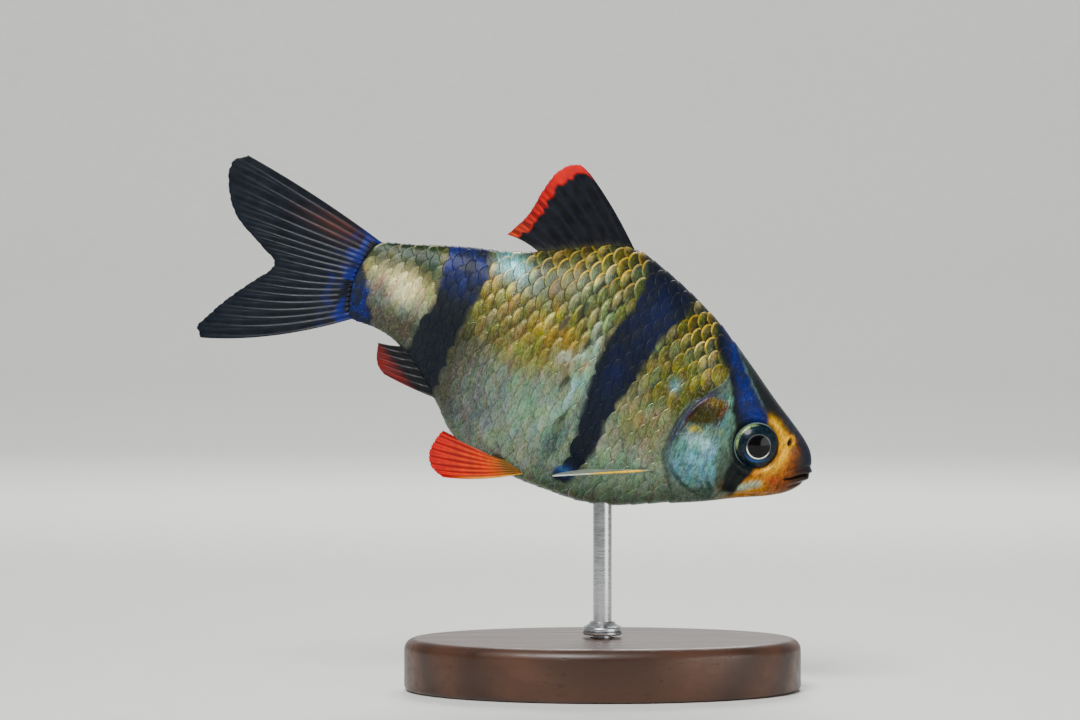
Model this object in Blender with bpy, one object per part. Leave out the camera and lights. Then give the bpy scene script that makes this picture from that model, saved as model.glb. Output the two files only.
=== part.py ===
"""Tiger barb, life size: a still museum model that swims nose down above a small display stand.

Run with: blender --background --python part.py

The fish is modelled in its own frame and then pitched. There, s runs back from the snout along
the body axis, h runs up from that axis and y points to the fish's left, all in millimetres. The
head faces +X in the finished model, +Z is up, and the origin is the bottom centre of the box that
holds the fish and its stand.
"""

import math

import bmesh
import bpy
import numpy as np

# Scale and pose
MM = 0.001
STANDARD_LENGTH = 46.0  # snout to the root of the tail fin
PITCH = math.radians(22.0)  # the snout points this far below the horizontal
SNOUT_X = 29.3  # of the point where s and h are 0
SNOUT_Z = 21.9
GAP = 0.3  # clearance between pieces that meet face to face
BEND_START = 19.0  # behind this station the body sweeps to the left
BEND_END = 62.0
BEND_SWEEP = 3.6  # sideways reach of the tail fin's tip

# The fish's outline: (s, h) of the back and of the belly, without the fins
NOSE = -0.55  # station of the foremost point
BACK_LINE = [
    (NOSE, -1.0), (-0.4, -0.1), (0.0, 0.75), (1.0, 1.75), (2.5, 2.75), (5.0, 4.25), (9.0, 6.85),
    (13.0, 9.3), (17.0, 11.05), (20.0, 12.1), (22.8, 12.75), (25.0, 12.3), (28.0, 10.85),
    (31.3, 9.1), (34.5, 7.85), (38.0, 6.85), (42.0, 5.5), (44.5, 4.65), (STANDARD_LENGTH, 4.3),
]
BELLY_LINE = [
    (NOSE, -1.0), (-0.43, -1.75), (0.0, -2.6), (1.0, -3.65), (2.5, -4.6), (5.0, -5.8),
    (8.0, -7.4), (12.0, -9.25), (16.0, -11.05), (19.0, -11.8), (22.0, -11.95), (25.4, -12.0),
    (28.0, -11.75), (31.0, -11.1), (33.2, -10.0), (35.0, -8.3), (37.0, -6.7), (39.0, -5.3),
    (41.0, -4.2), (43.0, -3.75), (STANDARD_LENGTH, -3.85),
]
# Half of the body's width at each station
HALF_WIDTH = [
    (NOSE, 0.0), (-0.4, 0.65), (0.05, 1.15), (1.0, 1.75), (2.5, 2.4), (5.0, 3.05), (8.0, 3.55),
    (12.0, 4.0), (16.0, 4.35), (20.0, 4.45), (24.0, 4.35), (28.0, 3.85), (32.0, 3.1),
    (36.0, 2.3), (40.0, 1.6), (43.0, 1.15), (STANDARD_LENGTH, 0.75),
]
# How sharply a cross-section closes towards the back: 0.5 is an ellipse, more is a keel
BACK_KEEL = [(NOSE, 0.5), (9.0, 0.52), (16.0, 0.6), (22.0, 0.66), (30.0, 0.6), (40.0, 0.52), (46.0, 0.5)]
BELLY_KEEL = [(NOSE, 0.5), (6.0, 0.56), (14.0, 0.52), (24.0, 0.48), (34.0, 0.56), (46.0, 0.5)]
TAIL_ROUNDING = 0.9  # how far the middle of the stalk's end stands behind its corners
TAIL_ROUNDING_START = 41.0

BODY_STATIONS = 47
RING_HALF = 17  # points from the back to the belly down one side, both ends included

# Head
EYE_CENTRE = (5.4, -0.48)
EYE_RADIUS = 2.3
EYE_DEPTH = 1.5  # half of the eyeball's thickness
EYE_OUT = 2.17  # of its centre from the middle plane
EYE_TURN = math.radians(11.0)  # the eyes look a little forward
RIM_THICKNESS = 0.2  # of the skin's raised ring round the eye
NOSTRIL = (2.1, 1.0)
NOSTRIL_RADIUS = 0.28
MOUTH_FRONT = (-0.7, -1.05)
MOUTH_CORNER = (1.5, -2.5)
MOUTH_SLIT = 0.24
MOUTH_DEPTH = 0.6  # how far the slit goes in
LIP_RADIUS = 0.36
GILL_COVER = [
    (9.5, 3.2), (11.1, 2.5), (12.2, 1.2), (12.8, -0.4), (13.1, -2.4), (12.95, -4.1),
    (12.1, -5.5), (10.8, -6.4), (9.1, -6.85), (7.8, -6.4), (7.6, -5.0), (8.3, -3.4),
    (8.75, -1.8), (8.8, -0.2), (8.8, 1.5), (8.9, 2.8),
]
GILL_COVER_PROUD = 0.3
GILL_COVER_THICKNESS = 0.65
HEAD_REAR = [
    (10.3, 12.0), (10.0, 6.5), (9.6, 3.2), (10.7, 1.1), (11.5, -0.7), (12.0, -2.4), (11.9, -3.9),
    (11.3, -5.0), (10.3, -5.9), (9.5, -7.5), (9.2, -13.0),
]
STALK_FRONT = [(36.6, 13.0), (38.2, 6.0), (38.9, 0.0), (38.6, -4.0), (39.4, -10.0)]

# Fins: where the rays start on the body, and the line of their tips, front ray first
RAY_ROOT_SINK = 1.1  # how deep a ray starts inside the body before it is trimmed
MEMBRANE = 0.5
RAY_RIDGE = 0.86
TIP_SHARE = 0.62  # a fin's thickness at its rim over that at its root
DORSAL_BASE = (22.9, 31.4)
DORSAL_RIM = [(29.7, 17.75), (31.1, 18.2), (32.5, 17.05), (33.3, 14.6), (33.7, 12.0), (34.9, 9.35)]
DORSAL_RAYS = 10
ANAL_BASE = (35.3, 40.2)
ANAL_RIM = [(40.9, -7.5), (41.7, -6.95), (42.15, -6.2), (42.35, -5.5), (42.5, -4.9)]
ANAL_RAYS = 7
CAUDAL_ROOT_HEIGHT = (4.15, -3.75)
CAUDAL_UPPER_RIM = [
    (61.2, 7.2), (62.4, 6.1), (61.8, 3.6), (60.0, 1.3), (57.4, -0.1), (54.9, -1.35),
]
CAUDAL_LOWER_RIM = [
    (54.9, -2.3), (56.2, -4.1), (57.8, -6.5), (59.0, -8.8), (59.5, -10.2), (58.8, -10.95),
]
CAUDAL_UPPER_RAYS = 10
CAUDAL_LOWER_RAYS = 9
CAUDAL_BOW = (0.3, -0.85)  # how far the outer rays bow outwards, top and bottom
PELVIC_ROOT = [(25.9, -11.75), (27.5, -10.9)]
PELVIC_RIM = [(31.9, -14.35), (33.2, -13.85), (33.85, -12.9), (33.9, -11.7), (33.6, -10.5)]
PELVIC_OUT = ((1.35, 3.9), (1.5, 3.5))  # y of the front ray's root and tip, then of the last ray's
PELVIC_RAYS = 8
PECTORAL_ROOT = (13.5, -6.25)
PECTORAL_ROOT_WIDTH = 1.5
PECTORAL_LENGTH = (10.3, 5.6)  # of the leading ray and of the innermost one
PECTORAL_SPREAD = (math.radians(20.0), math.radians(11.0))
PECTORAL_DROOP = math.radians(7.0)  # the outer edge hangs this much below the inner one
PECTORAL_RAYS = 10

# Stand
BASE_LENGTH = 38.0
BASE_WIDTH = 25.0
BASE_HEIGHT = 5.0
BASE_EDGE = 1.1  # radius of the rounded upper edge
ROD_X = 9.6
ROD_RADIUS = 0.9
ROD_SOCKET = 2.4  # how deep the rod stands in the base
ROD_REACH = 12.6  # height of the rod above the base's top
FERRULE_RADIUS = 2.0
FERRULE_HEIGHT = 1.2

# Colours from the photograph: base colour, roughness and metallic value
FINISHES = {
    "silver_skin": ((0.46, 0.45, 0.33), 0.35, 0.3),
    "snout_skin": ((0.55, 0.30, 0.10), 0.4, 0.1),
    "gill_cover": ((0.50, 0.58, 0.60), 0.3, 0.4),
    "black_fin": ((0.015, 0.02, 0.03), 0.5, 0.0),
    "dusky_fin": ((0.03, 0.06, 0.09), 0.5, 0.0),
    "red_fin": ((0.80, 0.09, 0.02), 0.5, 0.0),
    "clear_fin": ((0.55, 0.53, 0.45), 0.4, 0.0),
    "eye": ((0.01, 0.02, 0.04), 0.1, 0.0),
    "stand_wood": ((0.10, 0.05, 0.03), 0.4, 0.0),
    "stand_steel": ((0.60, 0.60, 0.62), 0.25, 1.0),
}


def clear_scene():
    for obj in list(bpy.data.objects):
        bpy.data.objects.remove(obj, do_unlink=True)


def finish(name):
    """The material of that name, made once."""
    found = bpy.data.materials.get(name)
    if found:
        return found
    colour, roughness, metallic = FINISHES[name]
    made = bpy.data.materials.new(name)
    made.use_nodes = True
    shader = made.node_tree.nodes["Principled BSDF"]
    shader.inputs["Base Color"].default_value = (*colour, 1.0)
    shader.inputs["Roughness"].default_value = roughness
    shader.inputs["Metallic"].default_value = metallic
    made.diffuse_color = (*colour, 1.0)
    return made


def through(points, at):
    """Smooth curve through (x, value) points, read at the x values in at."""
    x, v = np.array(points, float).T
    slope = np.gradient(v, x)
    at = np.clip(np.asarray(at, float), x[0], x[-1])
    i = np.clip(np.searchsorted(x, at, side="right") - 1, 0, len(x) - 2)
    step = x[i + 1] - x[i]
    t = (at - x[i]) / step
    return (
        (2 * t**3 - 3 * t**2 + 1) * v[i]
        + (t**3 - 2 * t**2 + t) * step * slope[i]
        + (3 * t**2 - 2 * t**3) * v[i + 1]
        + (t**3 - t**2) * step * slope[i + 1]
    )


def rounded(corners, count):
    """That many points round a smooth closed curve through the corners."""
    ring = np.array([*corners[-2:], *corners, *corners[:2]], float)
    at = np.linspace(2.0, 2.0 + len(corners), count, endpoint=False)
    place = np.arange(len(ring))
    sides = [through(np.stack([place, ring[:, axis]], 1), at) for axis in (0, 1)]
    return [tuple(point) for point in np.stack(sides, 1)]


def along_body(points, s):
    """A value at stations s. Read over the root of the distance from the nose, which rounds it."""
    rooted = [(math.sqrt(x - NOSE), v) for x, v in points]
    return through(rooted, np.sqrt(np.maximum(np.asarray(s, float) - NOSE, 0.0)))


def along_rim(points, shares):
    """Points at these shares of the way along a line of (s, h) points."""
    rim = np.array(points, float)
    steps = np.linalg.norm(np.diff(rim, axis=0), axis=1)
    way = np.concatenate([[0.0], np.cumsum(steps)]) / steps.sum()
    return np.stack(
        [through(np.stack([way, rim[:, axis]], 1), shares) for axis in (0, 1)], 1
    )


def sweep(s):
    """How far the body's middle plane bends to the left at station s."""
    t = np.clip((np.asarray(s, float) - BEND_START) / (BEND_END - BEND_START), 0.0, 2.0)
    return BEND_SWEEP * t**2


def to_world(points):
    """(s, y, h) in millimetres to the model's own metres."""
    s, y, h = np.asarray(points, float).T
    x = SNOUT_X - s * math.cos(PITCH) + h * math.sin(PITCH)
    z = SNOUT_Z + s * math.sin(PITCH) + h * math.cos(PITCH)
    return np.stack([x, y + sweep(s), z], 1) * MM


def side_width(s, h):
    """Half of the body's width at height h of station s."""
    top, bottom = along_body(BACK_LINE, s), along_body(BELLY_LINE, s)
    middle = (top + bottom) / 2
    above = h > middle
    reach = np.maximum(np.where(above, top - middle, middle - bottom), 0.001)
    t = np.clip(np.abs(h - middle) / reach, 0.0, 1.0)
    keel = np.where(above, along_body(BACK_KEEL, s), along_body(BELLY_KEEL, s))
    return along_body(HALF_WIDTH, s) * (1 - t**2) ** keel


def link(name, points, faces, material=None):
    """A new object from points in metres and triangles, its faces turned outwards."""
    mesh = bpy.data.meshes.new(name)
    mesh.from_pydata([tuple(p) for p in points], [], [tuple(f) for f in faces])
    work = bmesh.new()
    work.from_mesh(mesh)
    bmesh.ops.triangulate(work, faces=work.faces)
    bmesh.ops.recalc_face_normals(work, faces=work.faces)
    work.to_mesh(mesh)
    work.free()
    obj = bpy.data.objects.new(name, mesh)
    bpy.context.scene.collection.objects.link(obj)
    if material:
        mesh.materials.append(finish(material))
    return obj


def body_surface():
    """Points (s, y, h) and triangles of the whole body, without its fins."""
    stations = NOSE + (STANDARD_LENGTH - NOSE) * np.linspace(0.0, 1.0, BODY_STATIONS + 1)[1:] ** 1.5
    angles = np.linspace(math.pi / 2, -math.pi / 2, RING_HALF)
    points = [(NOSE, 0.0, -1.0)]
    for s in stations:
        top, bottom = float(along_body(BACK_LINE, s)), float(along_body(BELLY_LINE, s))
        middle = (top + bottom) / 2
        rise = np.where(angles > 0, top - middle, middle - bottom)
        keel = np.where(angles > 0, along_body(BACK_KEEL, s), along_body(BELLY_KEEL, s))
        h = middle + rise * np.sin(angles)
        y = float(along_body(HALF_WIDTH, s)) * np.maximum(np.cos(angles), 0.0) ** (2 * keel)
        late = max(0.0, (s - TAIL_ROUNDING_START) / (STANDARD_LENGTH - TAIL_ROUNDING_START))
        back = s + TAIL_ROUNDING * late * np.cos(angles) ** 2
        right = [(back[i], -y[i], h[i]) for i in range(RING_HALF)]
        left = [(back[i], y[i], h[i]) for i in range(RING_HALF - 2, 0, -1)]
        points += right + left
    ring = 2 * RING_HALF - 2
    faces = [(0, 1 + i, 1 + (i + 1) % ring) for i in range(ring)]
    for row in range(len(stations) - 1):
        a = 1 + row * ring
        for i in range(ring):
            j = (i + 1) % ring
            faces += [(a + i, a + ring + i, a + ring + j), (a + i, a + ring + j, a + j)]
    last = 1 + (len(stations) - 1) * ring
    for i in range(RING_HALF - 1):  # the end closes in a strip from side to side
        right_up, right_down = last + i, last + i + 1
        left_up, left_down = last + (ring - i) % ring, last + ring - i - 1
        if i == 0:
            faces.append((right_up, right_down, left_down))
        elif i == RING_HALF - 2:
            faces.append((right_up, right_down, left_up))
        else:
            faces += [(right_up, right_down, left_down), (right_up, left_down, left_up)]
    return np.array(points), faces


def body_solid(name, grow=0.0, material=None):
    """The whole body, its surface moved outwards by grow."""
    points, faces = body_surface()
    obj = link(name, to_world(points), faces, material)
    if grow:
        obj.data.update()
        moved = [v.co + v.normal * grow * MM for v in obj.data.vertices]
        for vertex, place in zip(obj.data.vertices, moved):
            vertex.co = place
        obj.data.update()
    return obj


def prism(name, outline, low, high):
    """A slab with that outline in (s, h), between two values of y, before the body's sweep."""
    count = len(outline)
    points = [(s, low, h) for s, h in outline] + [(s, high, h) for s, h in outline]
    faces = [tuple(range(count)), tuple(range(2 * count - 1, count - 1, -1))]
    faces += [(i, (i + 1) % count, count + (i + 1) % count, count + i) for i in range(count)]
    return link(name, to_world(points), faces)


def grown(outline, by):
    """The outline with each corner moved away from the middle by that much."""
    corners = np.array(outline, float)
    middle = corners.mean(axis=0)
    away = corners - middle
    return [tuple(p) for p in corners + by * away / np.linalg.norm(away, axis=1)[:, None]]


def settle(obj):
    """Applies the object's modifiers."""
    graph = bpy.context.evaluated_depsgraph_get()
    mesh = bpy.data.meshes.new_from_object(obj.evaluated_get(graph))
    obj.modifiers.clear()
    obj.data = mesh


def keep_largest(obj):
    """Drops every closed surface of the object but the largest."""
    work = bmesh.new()
    work.from_mesh(obj.data)
    bmesh.ops.triangulate(work, faces=work.faces)
    work.faces.ensure_lookup_table()
    left = set(work.faces)
    groups = []
    while left:
        group, edge = set(), [next(iter(left))]
        while edge:
            face = edge.pop()
            if face in group:
                continue
            group.add(face)
            edge += [f for e in face.edges for f in e.link_faces if f not in group]
        groups.append(group)
        left -= group
    groups.sort(key=lambda group: sum(f.calc_area() for f in group))
    extra = [face for group in groups[:-1] for face in group]
    bmesh.ops.delete(work, geom=extra, context="FACES")
    work.to_mesh(obj.data)
    work.free()


def combine(obj, others, operation):
    """One Boolean of the object with a collection of closed meshes, which are then removed."""
    group = bpy.data.collections.new("tools_of_" + obj.name)
    for other in others:
        group.objects.link(other)
    modifier = obj.modifiers.new(operation.lower(), "BOOLEAN")
    modifier.operation = operation
    modifier.operand_type = "COLLECTION"
    modifier.collection = group
    modifier.solver = "EXACT"
    bpy.context.view_layer.update()
    settle(obj)
    for other in others:
        bpy.data.objects.remove(other, do_unlink=True)
    bpy.data.collections.remove(group)
    keep_largest(obj)
    return obj


def common(obj, other):
    """Keeps only what the object shares with the other, which is then removed."""
    modifier = obj.modifiers.new("common", "BOOLEAN")
    modifier.operation = "INTERSECT"
    modifier.object = other
    modifier.solver = "EXACT"
    bpy.context.view_layer.update()
    settle(obj)
    bpy.data.objects.remove(other, do_unlink=True)
    keep_largest(obj)
    return obj


def smooth(obj, angle=math.radians(38.0)):
    obj.data.shade_smooth()
    obj.data.set_sharp_from_angle(angle=angle)


def ball(name, centre, radii, turn=0.0, segments=24, rings=14, material=None):
    """An ellipsoid at a place in the fish's frame. turn swings its near side towards the snout."""
    points = [(0.0, -1.0, 0.0)]
    for i in range(1, rings):
        polar = math.pi * i / rings
        for j in range(segments):
            around = 2 * math.pi * j / segments
            points.append(
                (math.sin(polar) * math.cos(around), -math.cos(polar), math.sin(polar) * math.sin(around))
            )
    points.append((0.0, 1.0, 0.0))
    faces = [(0, 1 + j, 1 + (j + 1) % segments) for j in range(segments)]
    for i in range(rings - 2):
        a = 1 + i * segments
        for j in range(segments):
            k = (j + 1) % segments
            faces.append((a + j, a + segments + j, a + segments + k, a + k))
    end = len(points) - 1
    faces += [(end, end - segments + j, end - segments + (j + 1) % segments) for j in range(segments)]
    shape = np.array(points) * np.array(radii)
    cos, sin = math.cos(turn), math.sin(turn)
    s = shape[:, 0] * cos + shape[:, 1] * sin
    y = -shape[:, 0] * sin + shape[:, 1] * cos
    placed = np.stack([s, y, shape[:, 2]], 1) + np.array(centre)
    return link(name, to_world(placed), faces, material)


def tube(name, route, radius, sides=8, closed=False):
    """A round tube along points in the fish's frame, tapered to its ends unless it is closed."""
    route = np.array(route, float)
    ahead = np.roll(route, -1, axis=0) - np.roll(route, 1, axis=0)
    if not closed:
        ahead[0], ahead[-1] = route[1] - route[0], route[-1] - route[-2]
    ahead /= np.linalg.norm(ahead, axis=1)[:, None]
    up = np.array([0.0, 0.0, 1.0])
    if np.abs(ahead @ up).max() > 0.9:
        up = np.array([0.0, 1.0, 0.0])
    across = np.cross(ahead, up)
    across /= np.linalg.norm(across, axis=1)[:, None]
    over = np.cross(across, ahead)
    count = len(route)
    points = []
    for i in range(count):
        share = 1.0 if closed else 0.25 + 0.75 * math.sin(math.pi * i / (count - 1)) ** 0.6
        for j in range(sides):
            turn = 2 * math.pi * j / sides
            out = math.cos(turn) * across[i] + math.sin(turn) * over[i]
            points.append(route[i] + radius * share * out)
    faces = []
    for i in range(count if closed else count - 1):
        a, b = i * sides, (i + 1) % count * sides
        faces += [(a + j, b + j, b + (j + 1) % sides, a + (j + 1) % sides) for j in range(sides)]
    if not closed:
        faces.append(tuple(range(sides)))
        faces.append(tuple(range((count - 1) * sides, count * sides)))
    return link(name, to_world(points), faces)


def mouth_frame():
    """The front and corner of the mouth in (s, h), and the direction across its line."""
    front, corner = np.array(MOUTH_FRONT), np.array(MOUTH_CORNER)
    along = (corner - front) / np.linalg.norm(corner - front)
    return front, corner, np.array([-along[1], along[0]])


def mouth_route(lift):
    """Points round the snout just above or below the line of the mouth, from corner to corner."""
    front, corner, over = mouth_frame()
    side = []
    for share in (0.2, 0.27, 0.36, 0.47, 0.6, 0.73, 0.87, 1.0):
        s, h = front + (corner - front) * share + over * lift * (1.0 - 0.4 * share**4)
        side.append((s, float(side_width(s, h)) - 0.12 - 0.2 * share**3, h))
    s, h = front + (corner - front) * 0.17 + over * lift
    right = [(s, -y, h) for s, y, h in reversed(side)]
    return [*right, (s, 0.0, h), *side]


def mouth_slit():
    """The thin groove between the lips, from one corner of the mouth to the other."""
    front, corner, over = mouth_frame()
    half = over * MOUTH_SLIT / 2
    start, end = front + (front - corner) * 0.4, corner - (corner - front) * 0.06
    outline = [start + half, end + half * 0.4, end - half * 0.4, start - half]
    slit = prism("mouth_slit", outline, -3.0, 3.0)
    return combine(slit, [body_solid("mouth_inside", -MOUTH_DEPTH)], "DIFFERENCE")


def eye_ball(name, side, grow=0.0, material=None):
    return ball(
        name,
        (EYE_CENTRE[0], side * EYE_OUT, EYE_CENTRE[1]),
        (EYE_RADIUS + grow, EYE_DEPTH + grow, EYE_RADIUS + grow),
        turn=-side * EYE_TURN,
        material=material,
    )


def eye_rim(side):
    """The raised ring of skin round one eye."""
    radius = EYE_RADIUS + GAP + 0.05
    route = []
    for turn in np.linspace(0.0, 2 * math.pi, 26, endpoint=False):
        s = EYE_CENTRE[0] + radius * math.cos(turn)
        h = EYE_CENTRE[1] + radius * math.sin(turn)
        route.append((s, side * (float(side_width(s, h)) - 0.07), h))
    return tube("eye_rim", route, RIM_THICKNESS, sides=6, closed=True)


def nostril_pit(side):
    s, h = NOSTRIL
    out = side * (float(side_width(s, h)) + 0.05)
    return ball("nostril", (s, out, h), (NOSTRIL_RADIUS,) * 3, segments=10, rings=6)


def nostril_rim(side):
    """The small raised flap round a nostril."""
    s, h = NOSTRIL
    radius = NOSTRIL_RADIUS + 0.1
    route = []
    for turn in np.linspace(0.0, 2 * math.pi, 10, endpoint=False):
        place, height = s + radius * math.cos(turn), h + radius * math.sin(turn)
        route.append((place, side * (float(side_width(place, height)) - 0.03), height))
    return tube("nostril_rim", route, 0.15, sides=5, closed=True)


def gill_pocket(side):
    """What is cut from the head and trunk so that one gill cover can lie in them."""
    low, high = sorted((side * 0.6, side * 9.0))
    pocket = prism("gill_pocket", grown(rounded(GILL_COVER, 32), GAP), low, high)
    core = body_solid("gill_core", GILL_COVER_PROUD - GILL_COVER_THICKNESS - GAP)
    return combine(pocket, [core], "DIFFERENCE")


def gill_cover(name, side):
    """One bony plate over the gills, a little proud of the head and trunk."""
    low, high = sorted((side * 0.6, side * 9.0))
    cover = body_solid(name, GILL_COVER_PROUD, "gill_cover")
    common(cover, prism("gill_outline", rounded(GILL_COVER, 32), low, high))
    core = body_solid("gill_inside", GILL_COVER_PROUD - GILL_COVER_THICKNESS)
    combine(cover, [core], "DIFFERENCE")
    smooth(cover)
    return cover


def make_head():
    head = body_solid("head", material="snout_skin")
    outline = [(-6.0, 14.0), *HEAD_REAR, (-6.0, -14.0)]
    common(head, prism("head_outline", outline, -9.0, 9.0))
    added = [eye_rim(side) for side in (-1, 1)] + [nostril_rim(side) for side in (-1, 1)]
    added += [tube("lip", mouth_route(lift), LIP_RADIUS) for lift in (-0.28, 0.28)]
    combine(head, added, "UNION")
    cut = [mouth_slit()]
    for side in (-1, 1):
        cut += [eye_ball("eye_socket", side, GAP), nostril_pit(side)]
    combine(head, cut, "DIFFERENCE")
    for side in (-1, 1):
        combine(head, [gill_pocket(side)], "DIFFERENCE")
    smooth(head)
    return head


def make_trunk():
    trunk = body_solid("trunk", material="silver_skin")
    front = [(s + GAP, h) for s, h in HEAD_REAR]
    outline = front + [(s, h) for s, h in reversed(STALK_FRONT)]
    common(trunk, prism("trunk_outline", outline, -9.0, 9.0))
    for side in (-1, 1):
        combine(trunk, [gill_pocket(side)], "DIFFERENCE")
    hole = round_bar("rod_hole", [(ROD_RADIUS + GAP, BASE_HEIGHT), (ROD_RADIUS + GAP, rod_top() + GAP)])
    combine(trunk, [hole], "DIFFERENCE")
    smooth(trunk)
    return trunk


def make_tail_stalk():
    stalk = body_solid("tail_stalk", material="silver_skin")
    outline = [(s + GAP, h) for s, h in STALK_FRONT] + [(52.0, -10.0), (52.0, 13.0)]
    common(stalk, prism("stalk_outline", outline, -9.0, 9.0))
    smooth(stalk)
    return stalk


def curved_ray(root, tip, bow, rows):
    """Points (s, y, h) from root to tip, bowed by that much along h."""
    root, tip = np.array(root, float), np.array(tip, float)
    t = np.linspace(0.0, 1.0, rows)[:, None]
    line = root + (tip - root) * t
    line[:, 2] += 4 * bow * (t * (1 - t))[:, 0]
    return line


def fin(name, rays, material, ridge=RAY_RIDGE, membrane=MEMBRANE):
    """A thin fin from its rays: each a row of points (s, y, h), the front ray first.

    The rays are ridges on the membrane, and both faces are split into triangles alike.
    """
    columns, halves = [], []
    rows = len(rays[0])
    taper = 1 - (1 - TIP_SHARE) * np.linspace(0.0, 1.0, rows) ** 1.5
    for i, ray in enumerate(rays):
        columns.append(ray)
        halves.append(ridge / 2 * taper)
        if i + 1 < len(rays):
            between = (ray + rays[i + 1]) / 2
            between[-1] += (between[-2] - between[-1]) * 0.05
            columns.append(between)
            halves.append(membrane / 2 * taper)
    grid = np.array(columns)
    half = np.array(halves)
    along = np.gradient(grid, axis=1)
    across = np.gradient(grid, axis=0)
    normal = np.cross(along, across)
    normal /= np.linalg.norm(normal, axis=2)[:, :, None]
    front = (grid + normal * half[:, :, None]).reshape(-1, 3)
    back = (grid - normal * half[:, :, None]).reshape(-1, 3)
    count = len(columns) * rows
    faces = []
    for c in range(len(columns) - 1):
        for r in range(rows - 1):
            a, b = c * rows + r, c * rows + r + 1
            d, e = a + rows, b + rows
            faces += [(a, b, e), (a, e, d)]
            faces += [(count + a, count + e, count + b), (count + a, count + d, count + e)]
    rim = [c * rows for c in range(len(columns))]
    rim += [(len(columns) - 1) * rows + r for r in range(1, rows)]
    rim += [c * rows + rows - 1 for c in range(len(columns) - 2, -1, -1)]
    rim += [r for r in range(rows - 2, 0, -1)]
    for i, here in enumerate(rim):
        there = rim[(i + 1) % len(rim)]
        faces += [(here, there, count + there), (here, count + there, count + here)]
    return link(name, to_world(np.concatenate([front, back])), faces, material)


def trim_to_body(piece, grow=GAP):
    """Cuts away what of a fin lies in the body or within a gap of it."""
    combine(piece, [body_solid("body_cutter", grow)], "DIFFERENCE")
    smooth(piece)
    return piece


def sunk(root, tip, depth):
    """The root moved back, away from the tip, by that depth."""
    root, tip = np.array(root, float), np.array(tip, float)
    return root + (root - tip) / np.linalg.norm(tip - root) * depth


def fin_on_line(name, base, rim, count, line, inward, bow, rows, material):
    """A fin on the middle plane whose rays start evenly along the back or the belly."""
    starts = np.linspace(base[0], base[1], count)
    tips = along_rim(rim, np.linspace(0.0, 1.0, count))
    rays = []
    for s, (tip_s, tip_h) in zip(starts, tips):
        root = (s, 0.0, float(along_body(line, s)) + inward)
        rays.append(curved_ray(sunk(root, (tip_s, 0.0, tip_h), RAY_ROOT_SINK), (tip_s, 0.0, tip_h), bow, rows))
    return trim_to_body(fin(name, rays, material))


def make_caudal_fin():
    high, low = CAUDAL_ROOT_HEIGHT
    count = CAUDAL_UPPER_RAYS + CAUDAL_LOWER_RAYS
    tips = np.concatenate(
        [
            along_rim(CAUDAL_UPPER_RIM, np.linspace(0.0, 1.0, CAUDAL_UPPER_RAYS)),
            along_rim(CAUDAL_LOWER_RIM, np.linspace(0.0, 1.0, CAUDAL_LOWER_RAYS)),
        ]
    )
    rays = []
    for i, (tip_s, tip_h) in enumerate(tips):
        share = i / (count - 1)
        level = high + (low - high) * share
        root = (STANDARD_LENGTH + TAIL_ROUNDING * (1 - (2 * share - 1) ** 2), 0.0, level)
        bow = CAUDAL_BOW[0] * max(0.0, 1 - 2 * share) + CAUDAL_BOW[1] * max(0.0, 2 * share - 1)
        tip = (tip_s, 0.0, tip_h)
        rays.append(curved_ray(sunk(root, tip, RAY_ROOT_SINK), tip, bow, 8))
    return trim_to_body(fin("caudal_fin", rays, "dusky_fin", ridge=0.8), GAP + 0.1)


def make_pelvic_fin(name, side):
    tips = along_rim(PELVIC_RIM, np.linspace(0.0, 1.0, PELVIC_RAYS))
    roots = np.linspace(*np.array(PELVIC_ROOT), PELVIC_RAYS)
    rays = []
    for i, ((root_s, root_h), (tip_s, tip_h)) in enumerate(zip(roots, tips)):
        share = i / (PELVIC_RAYS - 1)
        inner, outer = [PELVIC_OUT[0][k] + (PELVIC_OUT[1][k] - PELVIC_OUT[0][k]) * share for k in (0, 1)]
        root = (root_s, side * inner, root_h)
        tip = (tip_s, side * outer, tip_h)
        bow = -0.35 * (1 - share)
        rays.append(curved_ray(sunk(root, tip, RAY_ROOT_SINK), tip, bow, 7))
    return trim_to_body(fin(name, rays, "red_fin", ridge=0.8))


def make_pectoral_fin(name, side):
    """A fin held out level, like a hydroplane, so the side view sees it edge on."""
    back = np.array([math.cos(PITCH), 0.0, -math.sin(PITCH)])  # level in the finished pose
    up = np.array([math.sin(PITCH), 0.0, math.cos(PITCH)])
    out = np.array([0.0, side, 0.0]) * math.cos(PECTORAL_DROOP) - up * math.sin(PECTORAL_DROOP)
    s, h = PECTORAL_ROOT
    start = np.array([s, side * float(side_width(s, h)), h])
    rays = []
    for i in range(PECTORAL_RAYS):
        share = i / (PECTORAL_RAYS - 1)
        turn = PECTORAL_SPREAD[0] + (PECTORAL_SPREAD[1] - PECTORAL_SPREAD[0]) * share**0.8
        length = PECTORAL_LENGTH[0] + (PECTORAL_LENGTH[1] - PECTORAL_LENGTH[0]) * share**1.3
        root = start - out * PECTORAL_ROOT_WIDTH * (share - 0.15) + back * 0.9 * share
        tip = root + length * (math.cos(turn) * back + math.sin(turn) * out)
        inside = sunk(root, tip, 0.4) - out * 0.9
        line = np.concatenate([[inside], curved_ray(root, tip, 0.0, 6)])
        rays.append(line)
    return trim_to_body(fin(name, rays, "clear_fin", ridge=0.74))


def rod_top():
    return BASE_HEIGHT + ROD_REACH


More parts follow.
